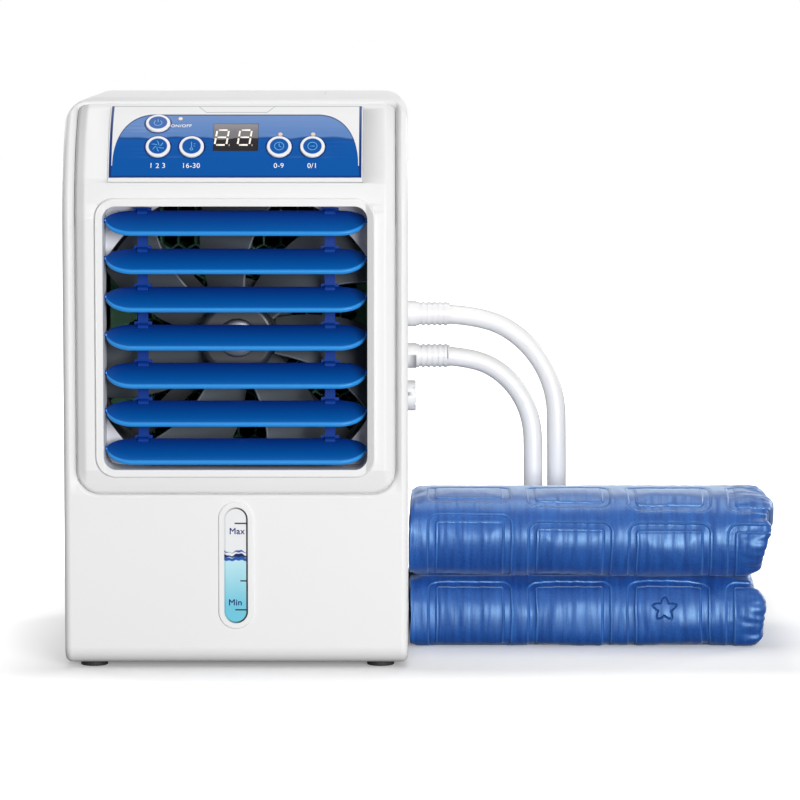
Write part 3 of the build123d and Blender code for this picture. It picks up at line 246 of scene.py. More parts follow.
def colour_mix(tree, factor, first, second):
    """Two colours, plain or from sockets, mixed by a mask; the result's socket is returned."""
    node = tree.nodes.new("ShaderNodeMix")
    node.data_type = "RGBA"
    tree.links.new(factor, node.inputs[0])
    for socket, value in ((node.inputs[6], first), (node.inputs[7], second)):
        if isinstance(value, tuple):
            socket.default_value = (*value, 1)
        else:
            tree.links.new(value, socket)
    return node.outputs[2]


def object_place(tree):
    """X, Y and Z of a point on the piece, in millimetres."""
    place = tree.nodes.new("ShaderNodeTexCoord")
    parts = tree.nodes.new("ShaderNodeSeparateXYZ")
    tree.links.new(place.outputs["Object"], parts.inputs[0])
    return [times(tree, socket, 1 / MM) for socket in parts.outputs]


# Camera, light and floor

def show_background(tree, strength):
    """strength where camera, glossy or clear rays arrive, and 0 for the light that falls on the object."""
    path = tree.nodes.new("ShaderNodeLightPath")
    seen = math_node(tree, "MAXIMUM", path.outputs["Is Camera Ray"], path.outputs["Is Glossy Ray"])
    seen = math_node(tree, "MAXIMUM", seen, path.outputs["Is Transmission Ray"])
    return times(tree, seen, strength)


def build_studio():
    """The photograph's camera, a plain soft studio and a white world."""
    scene = bpy.context.scene
    scene.view_settings.view_transform = "Standard"
    camera = new_object("photo_camera", bpy.data.cameras.new("photo_camera"))
    camera.data.sensor_width = 36.0
    camera.data.lens = camera_lens
    camera.data.clip_end = 50.0
    camera.location = camera_place
    camera.rotation_euler = (radians(90 - camera_tilt), 0, 0)
    scene.camera = camera

    world = bpy.data.worlds.new("studio")
    scene.world = world
    world.use_nodes = True
    nodes, links = world.node_tree.nodes, world.node_tree.links
    background = nodes["Background"]
    seen = nodes.new("ShaderNodeBackground")
    seen.inputs["Color"].default_value = (1, 1, 1, 1)
    background.inputs["Color"].default_value = (1, 1, 1, 1)
    background.inputs["Strength"].default_value = sky_strength
    mix = nodes.new("ShaderNodeMixShader")
    links.new(show_background(world.node_tree, 1.0), mix.inputs[0])
    links.new(background.outputs[0], mix.inputs[1])
    links.new(seen.outputs[0], mix.inputs[2])
    links.new(mix.outputs[0], nodes["World Output"].inputs["Surface"])

    for name, place, target, size, power in lamps:
        lamp = new_object(name, bpy.data.lights.new(name, "AREA"))
        lamp.data.size = size
        lamp.data.energy = power
        lamp.location = place
        aim = Vector(target) - Vector(place)
        lamp.rotation_euler = aim.to_track_quat("-Z", "Y").to_euler()
        lamp.visible_camera = False


def build_floor():
    """A pale floor that shows shadows near the object and is white beyond them."""
    bpy.ops.mesh.primitive_grid_add(x_subdivisions=8, y_subdivisions=8, size=14)
    floor = bpy.context.active_object
    floor.name = "studio_floor"
    material = new_material(
        "studio_floor", Roughness=0.9, Specular_IOR_Level=0.0, Emission_Color=(1, 1, 1, 1)
    )
    tree = material.node_tree
    shader = tree.nodes["Principled BSDF"]
    path = tree.nodes.new("ShaderNodeLightPath")
    seen = colour_mix(tree, path.outputs["Is Camera Ray"], (0.3, 0.3, 0.3), (0.9, 0.9, 0.9))
    tree.links.new(seen, shader.inputs["Base Color"])
    beyond = [
        math_node(tree, "MAXIMUM", minus(tree, away_from(tree, place, middle), half), 0.0)
        for place, middle, half in zip(object_place(tree), shadow_middle, shadow_half)
    ]
    far = clamped(tree, distance(tree, *beyond), 1 / shadow_fade)
    glow = times(tree, far, glow_far - glow_near, glow_near)
    glow = times(tree, path.outputs["Is Camera Ray"], glow)
    tree.links.new(glow, shader.inputs["Emission Strength"])
    floor.data.materials.append(material)


# Hoses: routes in millimetres, lengths in metres

coil_steps = 12             # control points in one turn
coil_turns = 1.5
coil_inset = 0.9663         # the turn's radius, as a share of its control points' radius
layer_start = 6.5           # control points before the hose starts to change layer
layer_steps = 4.0


def coil_points(middle, radius, first_z, last_z):
    """Turns that run clockwise from above and change layer on the way."""
    points = []
    control = radius / coil_inset
    for step in range(1, round(coil_turns * coil_steps)):
        angle = pi - step * 2 * pi / coil_steps
        share = min(max((step - layer_start) / layer_steps, 0.0), 1.0)
        share = share * share * (3 - 2 * share)
        z = first_z + (last_z - first_z) * share
        points.append((middle[0] + control * cos(angle), middle[1] + control * sin(angle), z))
    return points


def build_hose(name, points, material):
    """A hose on one smooth spline, as thick as the real one."""
    curve = bpy.data.curves.new(name, "CURVE")
    curve.dimensions = "3D"
    curve.bevel_depth = hose_diameter / 2 * MM
    curve.bevel_resolution = 7
    curve.resolution_u = 10
    curve.use_fill_caps = True
    spline = curve.splines.new("NURBS")
    spline.points.add(len(points) - 1)
    for point, place in zip(spline.points, points):
        point.co = (place[0] * MM, place[1] * MM, place[2] * MM, 1)
    spline.order_u = 3
    spline.use_endpoint_u = True
    hose = new_object(name, curve)
    finish_piece(hose, material, "cooler", "hose", f"{name}_lead", f"{name}_coil", f"{name}_tail")
    return hose


supply_route = [
    (112.6, 95.0, 191.5),
    (146.5, 95.0, 191.5),
    (176.3, 95.4, 174.3),
    (193.4, 96.0, 144.6),
    (193.9, 94.4, 110.0),
    (194.0, 96.6, 75.0),
    (194.0, 112.6, 46.6),
    (194.0, 140.0, 30.3),
    (194.0, 160.0, 30.3),
]
supply_route += coil_points((254.0, 172.0), 60.0, 30.3, 42.3)
supply_route += [
    (314.0, 160.0, 42.3),
    (314.0, 146.0, 42.3),
    (304.0, 120.0, 53.0),
    (304.0, 94.3, 53.0),
]
return_route = [
    (112.6, 95.0, 165.2),
    (140.7, 95.0, 165.2),
    (164.9, 95.3, 151.2),
    (178.8, 96.0, 126.9),
    (179.2, 94.4, 95.0),
    (179.0, 96.4, 62.0),
    (179.0, 112.4, 34.2),
    (179.0, 140.0, 18.0),
    (179.0, 160.0, 18.0),
]
return_route += coil_points((239.0, 172.0), 60.0, 18.0, 6.0)
return_route += [
    (299.0, 160.0, 6.0),
    (299.0, 146.0, 6.0),
    (300.0, 120.0, 17.0),
    (300.0, 94.3, 17.0),
]


# Folded pad, in millimetres

pad_left = 100.7
nearest_casing = 100.5      # no cloth comes nearer to the casing than this
cell_columns = (136.8, 197.2, 258.0, 318.6)
cell_width = 50.4
cell_round = 6.5
weld_width = 5.2
weld_depth = 0.8
cell_puff = 0.6             # how far the middle of a cell stands out
puff_reach = 12.0
swell_limit = 2.0
swell_frames = 20
calm_along = (60, 110)      # the creases die down over this stretch along the cloth
pucker_across = (285, 316)
end_front = (-34, -20)      # the grooves at the right end start here, in Y
back_corner = (276, 290)    # and those along the back stop here, in X
groove_depth = 7.0          # where two layers meet at the pad's ends
groove_half = 2.2
star_place = (255.8, 30.4)
star_radius = 7.6
star_notch = 0.46
star_slant = 0.8
uv_unit = 100.0             # one unit of the cloth's UV map
stations = 50
stations_from = 0.03        # the even rows of points, as shares of the pad's length
stations_span = 0.93
ring_points = 76
end_narrowing = 0.42

# Soft noise in the cloth: height, steps a millimetre across and along, and seed
creases = ((0.34, 0.23, 0.035, 3.1), (0.22, 0.55, 0.05, 9.7), (0.5, 0.03, 0.05, 5.3))
puckers = ((1.6, 0.05, 0.13, 1.7), (0.8, 0.1, 0.3, 4.2))

# Rows of points towards each end: share of the length, and how far the outline draws in
left_rows = [(0.0, 0.92), (0.0, 0.5), (0.0, 0.06), (0.0, 0.0), (0.002, 0.0), (0.008, 0.0), (0.022, 0.0)]
right_rows = [(0.965, 0.0), (0.983, 0.02), (0.995, 0.07), (1.0, 0.2), (1.0, 0.55), (1.0, 0.92)]
pad_folds = {
    "pad_upper": {
        "node": "pad_upper_fold",
        "outline": [
            (-20, 42.0), (-28, 43.2), (-33.6, 46.8), (-36.8, 52), (-38.4, 58.5), (-38.4, 65.5), (-37.2, 72),
            (-34.6, 78.5), (-30, 83.8), (-22, 87), (-12, 88.8), (3, 89.6), (22, 89.4), (48, 86.8), (66, 83),
            (76, 77), (80.5, 68), (80.5, 57), (77, 46), (69, 42.2), (45, 42.0), (20, 42.0), (0, 42.0),
        ],
        "cells": (
            ((-2.0, 49.0), (-2.0, 44.6), (-2.0, 44.4), (-2.0, 44.0)),
            ((59.5, 99.0), (56.0, 98.0), (53.0, 97.0), (52.5, 96.0)),
        ),
        "end": ((42, 312), (46, 315.5), (54, 314.8), (64, 318), (75, 320), (80, 317.5), (86, 321), (91, 322)),
        "layers_meet": 66.0,
        "lowest": 41.7,
        "highest": 93.0,
    },
    "pad_lower": {
        "node": "pad_lower_fold",
        "outline": [
            (-27, 0.3), (-34, 0.8), (-37.2, 3.6), (-38.6, 9.5), (-38.8, 17), (-37.8, 25), (-35.2, 31.5),
            (-30.5, 37), (-23, 40.4), (-10, 41.3), (30, 41.4), (55, 41.4), (70, 40.4), (78, 36), (81.5, 24),
            (80, 9), (74, 1.8), (66, 0.4), (45, 0.4), (20, 0.4), (-5, 0.4),
        ],
        "cells": (((1.5, 50.5), (-3.0, 50.5), (-3.0, 50.5), (-3.0, 50.0)),),
        "end": ((0, 314.5), (5, 316), (18, 315.5), (25, 318.5), (33, 315), (41, 310)),
        "layers_meet": 20.5,
        "lowest": 0.2,
        "highest": 41.35,
    },
}


def resample(outline, count):
    """Evenly spaced points along a closed outline with soft corners, and the outline's length."""
    closed = np.array(outline + outline[:1], float)
    for _ in range(2):
        middle = (closed[:-1] + closed[1:]) / 2
        finer = np.empty((2 * len(middle) + 1, 2))
        finer[0::2] = closed
        finer[1::2] = middle
        finer[1:-1] = finer[1:-1] / 2 + (finer[:-2] + finer[2:]) / 4
        closed = finer
    runs = np.hypot(*np.diff(closed, axis=0).T)
    places = np.concatenate([[0], np.cumsum(runs)])
    wanted = np.linspace(0, places[-1], count, endpoint=False)
    return np.column_stack([np.interp(wanted, places, closed[:, k]) for k in (0, 1)]), places[-1]


def smooth_step(values, low, high):
    """0 at low, 1 at high, with a smooth rise between."""
    share = np.clip((values - low) / (high - low), 0, 1)
    return share * share * (3 - 2 * share)


def rounded_depth(across, along, half_width, half_height, corner):
    """Depth inside a rounded rectangle's outline, negative outside."""
    x, y = np.abs(across) - half_width + corner, np.abs(along) - half_height + corner
    outside = np.hypot(np.maximum(x, 0), np.maximum(y, 0))
    return corner - outside - np.minimum(np.maximum(x, y), 0)


def star_depth(across, along, radius):
    """Rough depth inside a five-pointed star's outline, negative outside."""
    angle = np.arctan2(along, across) - np.pi / 2
    wedge = np.abs((angle / (2 * np.pi / 5) + 0.5) % 1 - 0.5) * 2
    reach = radius * (1 - star_notch * smooth_step(wedge, 0, 1.05) ** 0.75)
    return (reach - np.hypot(across, along)) * star_slant


def fold_mesh(name, fold):
    """A closed tube with the fold's outline; its UV map is X and the length round the outline."""
    ring, length = resample(fold["outline"], ring_points)
    centre = (ring.max(axis=0) + ring.min(axis=0)) / 2
    heights, ends = zip(*fold["end"])
    right = np.interp(ring[:, 1], heights, ends)
    rows = list(left_rows)
    rows += [(stations_from + stations_span * k / stations, 0.0) for k in range(1, stations)]
    rows += right_rows
    points = []
    for share, inset in rows:
        shrink = np.array([1 - end_narrowing * inset, 1 - inset])
        flat = centre + (ring - centre) * shrink
        points.append(np.column_stack([pad_left + (right - pad_left) * share, flat]))
    corners = [
        [(row, column), (row, column + 1), (row + 1, column + 1), (row + 1, column)]
        for row in range(len(rows) - 1) for column in range(ring_points)
    ]
    corners += [[(row, column) for column in range(ring_points)] for row in (0, len(rows) - 1)]
    step = length / ring_points
    faces = [[row * ring_points + column % ring_points for row, column in face] for face in corners]
    uvs = [
        (points[row][column % ring_points, 0] / uv_unit, column * step / uv_unit)
        for face in corners for row, column in face
    ]
    mesh = bpy.data.meshes.new(name)
    mesh.from_pydata((np.concatenate(points) * MM).tolist(), [], faces)
    layer = mesh.uv_layers.new(name="cloth")
    layer.data.foreach_set("uv", np.array(uvs).ravel())
    item = new_object(name, mesh)
    with whole_mesh(item):
        bpy.ops.mesh.normals_make_consistent(inside=False)
    return item


def coordinates(mesh):
    """A mesh's points as an array."""
    values = np.empty(len(mesh.vertices) * 3)
    mesh.vertices.foreach_get("co", values)
    return values.reshape(-1, 3)


def swell(item, limit):
    """The cloth is blown up a little by simulation; no point moves further than limit."""
    start = coordinates(item.data)
    modifier = item.modifiers.new("swell", "CLOTH")
    cloth = modifier.settings
    cloth.quality = 6
    cloth.mass = 0.2
    cloth.use_pressure = True
    cloth.uniform_pressure_force = 4
    cloth.effector_weights.gravity = 0
    scene = bpy.context.scene
    for number in range(1, swell_frames + 1):
        scene.frame_set(number)
    puffed = item.evaluated_get(bpy.context.evaluated_depsgraph_get())
    moved = coordinates(puffed.data) - start
    item.modifiers.remove(modifier)
    scene.frame_set(1)
    reach = np.maximum(np.linalg.norm(moved, axis=1, keepdims=True), 1e-9)
    start += moved * np.minimum(1, limit / reach)
    item.data.vertices.foreach_set("co", start.ravel())
    item.data.update()


def cloth_places(mesh):
    """Each point's place on the flat cloth in millimetres, X and along, from the UV map."""
    index = np.empty(len(mesh.loops), int)
    mesh.loops.foreach_get("vertex_index", index)
    uv = np.empty(len(mesh.loops) * 2)
    mesh.uv_layers["cloth"].data.foreach_get("uv", uv)
    place = np.zeros((len(mesh.vertices), 2))
    place[index] = uv.reshape(-1, 2) * uv_unit
    return place.T


def cloth_noise(x, s, layers):
    """Layers of soft noise at each place on the cloth."""
    return np.array([
        sum(
            height * noise.noise(Vector((a * across, b * along, seed)))
            for height, across, along, seed in layers
        )
        for a, b in zip(x, s)
    ])


def emboss(item, fold):
    """Welded cell outlines, puffed cells, creases and a groove between the layers, along the normal."""
    mesh = item.data
    co = coordinates(mesh)
    normals = np.empty(len(mesh.vertices) * 3)
    mesh.vertex_normals.foreach_get("vector", normals)
    normals = normals.reshape(-1, 3)
    x, s = cloth_places(mesh)
    far_outside = -50.0
    weld = np.full(len(co), far_outside)
    star = np.full(len(co), far_outside)
    for row in fold["cells"]:
        for column, (low, high) in zip(cell_columns, row):
            along = s - (low + high) / 2
            depth = rounded_depth(x - column, along, cell_width / 2, (high - low) / 2, cell_round)
            weld = np.maximum(weld, depth)
    height = cell_puff * smooth_step(weld, weld_width, weld_width + puff_reach)
    height -= weld_depth * smooth_step(weld, -1, 1) * smooth_step(weld_width - weld, -1, 1)
    if fold["node"] == "pad_lower_fold":
        star = star_depth(x - star_place[0], s - star_place[1], star_radius)
    for name, values in (("weld", weld), ("star", star)):
        mesh.attributes.new(name, "FLOAT", "POINT").data.foreach_set("value", values)
    height += cloth_noise(x, s, creases) * (1 - 0.6 * smooth_step(s, *calm_along))
    height += cloth_noise(x, s, puckers) * smooth_step(x, *pucker_across)
    between = np.exp(-((co[:, 2] / MM - fold["layers_meet"]) / groove_half) ** 2)
    on_end = np.clip(normals[:, 0], 0, 1) * smooth_step(co[:, 1] / MM, *end_front)
    on_back = np.clip(normals[:, 1], 0, 1) * (1 - smooth_step(x, *back_corner))
    height -= groove_depth * between * np.maximum(on_end, on_back)
    co += normals * height[:, None] * MM
    co[:, 2] = np.clip(co[:, 2], fold["lowest"] * MM, fold["highest"] * MM)
    co[:, 0] = np.maximum(co[:, 0], nearest_casing * MM)
    mesh.vertices.foreach_set("co", co.ravel())
    mesh.update()


def build_fold(name, fold, material):
    """One fold of the pad: swollen cloth, then its welds and creases."""
    item = fold_mesh(name, fold)
    swell(item, swell_limit * MM)
    apply_modifier(item, "SUBSURF", levels=2, render_levels=2)
    emboss(item, fold)
    select_only(item)
    bpy.ops.object.shade_smooth()
    finish_piece(item, material, "cooler", "pad_cloth", fold["node"])


# Slats and fan cap

def pick(item, test):
    """Edit mode, with only the vertices selected that pass the test."""
    select_only(item)
    bpy.ops.object.mode_set(mode="EDIT")
    bpy.ops.mesh.select_mode(type="VERT")
    bpy.ops.mesh.select_all(action="DESELECT")
    bpy.ops.object.mode_set(mode="OBJECT")
    for vertex in item.data.vertices:
        vertex.select = test(vertex.co)
    bpy.ops.object.mode_set(mode="EDIT")


def resize_part(item, test, scale):
    """The vertices that pass the test are scaled about the origin."""
    pick(item, test)
    bpy.ops.transform.resize(value=scale, center_override=(0, 0, 0))
    bpy.ops.object.mode_set(mode="OBJECT")


def rod_along_x(x, y, radius, length):
    """A round bar along X with softened rims, centred here."""
    bpy.ops.mesh.primitive_cylinder_add(
        vertices=24, radius=radius, depth=length, location=(x, y, 0), rotation=(0, pi / 2, 0)
    )
    rod = bpy.context.active_object
    bpy.ops.object.transform_apply(location=True, rotation=True, scale=True)
    apply_modifier(
        rod, "BEVEL", width=radius / 4, segments=2, limit_method="ANGLE", angle_limit=radians(60)
    )
    return rod


def model_slat():
    """One slat lying flat: pivot line on X, front edge towards -Y, notched for the two link bars."""
    bpy.ops.mesh.primitive_circle_add(vertices=96, radius=1, fill_type="NGON", location=(0, 0, 0))
    slat = bpy.context.active_object
    resize_part(slat, lambda co: True, (slat_end * MM, 1, 1))
    resize_part(slat, lambda co: co.y < -1e-5, (1, slat_front * MM, 1))
    resize_part(slat, lambda co: co.y > 1e-5, (1, slat_rear * MM, 1))
    for side in (-1, 1):
        pick(slat, lambda co: co.x * side > 1e-6)
        bpy.ops.transform.translate(value=(side * (slat_half - slat_end) * MM, 0, 0))
        bpy.ops.object.mode_set(mode="OBJECT")
    with whole_mesh(slat):
        bpy.ops.transform.translate(value=(0, 0, -slat_thick / 2 * MM))
        bpy.ops.mesh.extrude_region_move(TRANSFORM_OT_translate={"value": (0, 0, slat_thick * MM)})
        bpy.ops.mesh.select_all(action="SELECT")
        bpy.ops.mesh.normals_make_consistent(inside=False)
    resize_part(slat, lambda co: co.y < -slat_front * 0.3 * MM, (1, 1, slat_bead))
    apply_modifier(
        slat, "BEVEL", width=slat_round * MM, segments=3, limit_method="ANGLE", angle_limit=radians(50)
    )
    for side in (-1, 1):
        middle = (side * link_spread * MM, (notch_floor + notch_depth / 2) * MM, 0)
        bpy.ops.mesh.primitive_cube_add(size=1, location=middle)
        cutter = bpy.context.active_object
        cutter.scale = (notch_width * MM, notch_depth * MM, notch_depth * MM)
        bpy.ops.object.transform_apply(location=True, rotation=True, scale=True)
        apply_modifier(slat, "BOOLEAN", object=cutter, operation="DIFFERENCE", solver="EXACT")
        bpy.data.objects.remove(cutter)
    rods = []
    for side in (-1, 1):
        pivot_x = side * (slat_half + pivot_length / 3)
        rods.append(rod_along_x(pivot_x * MM, 0, pivot_radius * MM, pivot_length * MM))
        pin_x = side * link_spread
        rods.append(rod_along_x(pin_x * MM, link_arm * MM, link_pin_radius * MM, notch_width * MM))
    select_only(slat, *rods)
    bpy.ops.object.join()
    bpy.ops.object.shade_smooth_by_angle(angle=radians(40))
    return slat


def build_slats(material):
    """Seven slats on their pivots, each riding on its own body."""
    pattern = model_slat()
    lean = Matrix.Rotation(radians(slat_tilt), 4, "X")
    for row, height in enumerate(slat_heights, 1):
        slat = new_object(f"blade_{row}", pattern.data.copy())
        slat.data.transform(Matrix.Translation((0, pivot_y * MM, height * MM)) @ lean)
        finish_piece(slat, material, f"slat_{row}", "blue_slat", f"slat_{row}")
    bpy.data.objects.remove(pattern)


def build_hub_cap(material):
    """The domed cap in the middle of the fan."""
    bpy.ops.mesh.primitive_uv_sphere_add(segments=48, ring_count=24, radius=1, rotation=(pi / 2, 0, 0))
    cap = bpy.context.active_object
    cap.scale = (cap_radius * MM, cap_radius * MM, cap_dome * MM)
    cap.location = (0, cap_base * MM, fan_height * MM)
    bpy.ops.object.transform_apply(location=True, rotation=True, scale=True)
    with whole_mesh(cap):
        bpy.ops.mesh.bisect(
            plane_co=(0, cap_base * MM, 0), plane_no=(0, 1, 0), use_fill=True, clear_outer=True
        )
    bpy.ops.object.shade_smooth_by_angle(angle=radians(40))
    cap.name = "hub_cap"
    finish_piece(cap, material, "fan", "bright_cap", "fan_hub_cap")


# Print and small pieces on the panel, in millimetres

capital_share = 0.7         # a capital's height, as a share of the letters' size
ink_thick = 0.03
sign_thick = 0.12
sign_width = 0.5
panel_bold = 0.04
gauge_bold = 0.13
digit_places = (-8.1, 5.2)
digit_half_width = 3.4
digit_half_height = 5.6
digit_slant = 0.12
digit_angle = 41.9
digit_stroke = 1.15
digit_gap = 0.13            # left free at a stroke's ends, as a share of its run
point_place = (4.2, 4.5)    # the point's two ends beside a figure
fan_spine = ((0.9, 0.0), (1.7, 0.5), (2.5, 1.5), (2.9, 2.4))


def brow_point(x, angle, radius):
    """A point at this place across and this angle up the brow, in millimetres."""
    turn = radians(angle)
    return x, brow_y - radius * cos(turn), brow_z + radius * sin(turn)


def lay_on_brow(item, x, angle, radius):
    """A flat mesh in millimetres, X right and Y up, is laid on the curved brow and applied."""
    for vertex in item.data.vertices:
        across, along, out = vertex.co
        turn = angle + along / radius * 180 / pi
        vertex.co = [value * MM for value in brow_point(x + across, turn, radius + out)]
    item.data.update()


def lay_on_front(item, x, y, z):
    """A flat mesh in millimetres is stood upright in front of a wall at Y."""
    for vertex in item.data.vertices:
        across, along, out = vertex.co
        vertex.co = [(x + across) * MM, (y - out) * MM, (z + along) * MM]
    item.data.update()


def as_mesh(item, name):
    """A curve or text object turned into a merged mesh."""
    select_only(item)
    bpy.ops.object.convert(target="MESH")
    item = bpy.context.view_layer.objects.active
    with whole_mesh(item):
        bpy.ops.mesh.remove_doubles(threshold=0.001)
        bpy.ops.mesh.normals_make_consistent(inside=False)
    item.name = name
    item.data.name = name
    return item


def lettering(name, words, height, bold):
    """Plain letters or figures this high, centred, as a thin raised mesh in millimetres."""
    bpy.ops.object.text_add()
    item = bpy.context.active_object
    item.data.body = words
    item.data.size = height / capital_share
    item.data.space_character = 1.05
    item.data.align_x = "CENTER"
    item.data.align_y = "CENTER"
    item.data.extrude = ink_thick
    item.data.resolution_u = 3
    item = as_mesh(item, name)
    with whole_mesh(item):
        bpy.ops.transform.shrink_fatten(value=bold)
    return item


def strokes(name, lines, width):
    """Flat-topped round strokes along runs of points, as a mesh in millimetres."""
    curve = bpy.data.curves.new(name, "CURVE")
    curve.dimensions = "3D"
    curve.bevel_depth = width / 2
    curve.bevel_resolution = 2
    curve.use_fill_caps = True
    for line in lines:
        spline = curve.splines.new("POLY")
        spline.points.add(len(line) - 1)
        for point, (across, along) in zip(spline.points, line):
            point.co = (across, along, 0, 1)
    item = as_mesh(new_object(name, curve), name)
    for vertex in item.data.vertices:
        vertex.co.z *= sign_thick / width
    return item


def arc(middle, radius, start, end, count=16):
    """Points along an arc, with its angles in degrees."""
    turns = [radians(start + (end - start) * k / count) for k in range(count + 1)]
    return [(middle[0] + radius * cos(turn), middle[1] + radius * sin(turn)) for turn in turns]


def vane(turn):
    """One curved vane of the fan sign."""
    lean = radians(turn)
    return [(a * cos(lean) - b * sin(lean), a * sin(lean) + b * cos(lean)) for a, b in fan_spine]


# Strokes of the sign on each key, in millimetres from the key's middle
key_signs = {
    "power_key": [arc((0, -0.2), 2.3, 125, 415), [(0, 0.4), (0, 2.9)]],
    "fan_speed_key": [vane(60 * k) for k in range(6)],
    "thermostat_key": [
        [(0, 3.0), (0, -1.2)], arc((0, -2.0), 0.8, 0, 360), [(1.2, 1.6), (2.2, 1.6)], [(1.2, 0), (2, 0)],
    ],
    "timer_key": [arc((0, 0), 2.7, 0, 360), [(0, 1.8), (0, 0), (1.3, -0.8)]],
    "ion_key": [arc((0, 0), 2.7, 0, 360), [(-1.4, 0), (1.4, 0)]],
}

# Piece, words, height, X and angle up the brow
panel_words = [
    ("power_words", "ON/OFF", 2.3, -32.0, 48.6),
    ("fan_words", "1 2 3", 3.1, -45.0, 26.9),
    ("thermostat_words", "16-30", 3.1, -25.6, 26.9),
    ("timer_words", "0-9", 3.1, 25.2, 26.9),
    ("ion_words", "0/1", 3.1, 44.6, 26.9),
]

# Piece, words, height, X and Z on the window
gauge_words = [
    ("level_high", "Max", 3.6, 0.6, 80.9),
    ("level_low", "Min", 3.6, -0.5, 39.1),
]


def build_panel_print(ink, sign_ink):
    """Signs on the keys and figures beside them."""
    for name, lines in key_signs.items():
        x, angle = key_places[name]
        item = strokes(f"{name}_sign", lines, sign_width)
        plane = Matrix.Rotation(radians(90 - angle), 4, "X")
        centre = Vector(brow_point(x, angle, key_face))
        for vertex in item.data.vertices:
            vertex.co = (plane @ vertex.co + centre) * MM
        finish_piece(item, sign_ink, name, "key_cap")
    for name, words, height, x, angle in panel_words:
        item = lettering(name, words, height, panel_bold)
        lay_on_brow(item, x, angle, film_face + 0.02)
        finish_piece(item, ink, "cooler", "panel_film")


def build_digits(glow):
    """Two slanted seven-segment figures with their points, on the lens."""
    level_ends = [((-1, height), (1, height)) for height in (1, 0, -1)]
    upright_ends = [((side, low), (side, low + 1)) for low in (0, -1) for side in (-1, 1)]
    lines = []
    for middle in digit_places:
        for first, last in level_ends + upright_ends:
            run = []
            for share in (digit_gap, 1 - digit_gap):
                across = (first[0] + (last[0] - first[0]) * share) * digit_half_width
                along = (first[1] + (last[1] - first[1]) * share) * digit_half_height
                run.append((middle + across + digit_slant * along, along))
            lines.append(run)
        lines.append([(middle + across, -digit_half_height - 0.1) for across in point_place])
    item = strokes("display_digits", lines, digit_stroke)
    lay_on_brow(item, 0.0, digit_angle, lens_face)
    finish_piece(item, glow, "cooler", "light_guide")


def build_gauge_words(ink):
    """The two level words on the window."""
    for name, words, height, x, z in gauge_words:
        item = lettering(name, words, height, gauge_bold)
        lay_on_front(item, x, window_face, z)
        finish_piece(item, ink, "cooler", "clear_window")


# Finishes

def add_group(name, inputs, outputs):
    """A node group with named sockets, and its input and output nodes."""
    group = bpy.data.node_groups.new(name, "ShaderNodeTree")
    for socket, kind, value in inputs:
        made = group.interface.new_socket(name=socket, in_out="INPUT", socket_type=kind)
        if value is not None:
            made.default_value = value
    for socket, kind in outputs:
        group.interface.new_socket(name=socket, in_out="OUTPUT", socket_type=kind)
    return group, group.nodes.new("NodeGroupInput"), group.nodes.new("NodeGroupOutput")


def build_moulded_group():
    """Moulded plastic: a faint mottle in colour and gloss, and a fine skin of bumps."""
    group, source, result = add_group(
        "moulded_surface",
        [("Colour", "NodeSocketColor", (0.8, 0.8, 0.8, 1)), ("Gloss", "NodeSocketFloat", 0.3),
         ("Mottle", "NodeSocketFloat", 0.04), ("Grain Size", "NodeSocketFloat", 900.0),
         ("Grain Depth", "NodeSocketFloat", 0.06)],
        [("Colour", "NodeSocketColor"), ("Roughness", "NodeSocketFloat"), ("Normal", "NodeSocketVector")],
    )
    place = group.nodes.new("ShaderNodeTexCoord")
    cloud = group.nodes.new("ShaderNodeTexNoise")
    cloud.inputs["Scale"].default_value = 14.0
    cloud.inputs["Detail"].default_value = 3.0
    grain = group.nodes.new("ShaderNodeTexNoise")
    grain.inputs["Detail"].default_value = 2.0
    links = group.links
    links.new(place.outputs["Object"], cloud.inputs["Vector"])
    links.new(place.outputs["Object"], grain.inputs["Vector"])
    links.new(source.outputs["Grain Size"], grain.inputs["Scale"])
    amount = times(group, minus(group, cloud.outputs["Fac"], 0.5), source.outputs["Mottle"])
    shade = math_node(group, "ADD", amount, 1.0)
    tint = group.nodes.new("ShaderNodeVectorMath")
    tint.operation = "SCALE"
    links.new(source.outputs["Colour"], tint.inputs[0])
    links.new(shade, tint.inputs["Scale"])
    links.new(tint.outputs[0], result.inputs["Colour"])
    rough = times(group, amount, 2.0, source.outputs["Gloss"])
    links.new(rough, result.inputs["Roughness"])
    bump = group.nodes.new("ShaderNodeBump")
    bump.inputs["Distance"].default_value = 0.0001
    links.new(source.outputs["Grain Depth"], bump.inputs["Strength"])
    links.new(grain.outputs["Fac"], bump.inputs["Height"])
    links.new(bump.outputs["Normal"], result.inputs["Normal"])
    return group


moulded_group = build_moulded_group()


def moulded(name, colour, gloss, mottle=0.04, grain=900.0, depth=0.06, paint=None, relief=None, **sockets):
    """A moulded plastic or painted finish; paint prints on its colour, relief gives a height in metres."""
    material = new_material(name, **sockets)
    tree = material.node_tree
    shader = tree.nodes["Principled BSDF"]
    surface = tree.nodes.new("ShaderNodeGroup")
    surface.node_tree = moulded_group
    surface.inputs["Colour"].default_value = (*colour, 1)
    surface.inputs["Gloss"].default_value = gloss
    surface.inputs["Mottle"].default_value = mottle
    surface.inputs["Grain Size"].default_value = grain
    surface.inputs["Grain Depth"].default_value = depth
    tinted = surface.outputs["Colour"]
    if paint:
        tinted = paint(tree, tinted)
    tree.links.new(tinted, shader.inputs["Base Color"])
    tree.links.new(surface.outputs["Roughness"], shader.inputs["Roughness"])
    normal = surface.outputs["Normal"]
    if relief:
        bump = tree.nodes.new("ShaderNodeBump")
        bump.inputs["Distance"].default_value = 1.0
        tree.links.new(relief(tree), bump.inputs["Height"])
        tree.links.new(normal, bump.inputs["Normal"])
        normal = bump.outputs["Normal"]
    tree.links.new(normal, shader.inputs["Normal"])
    return material


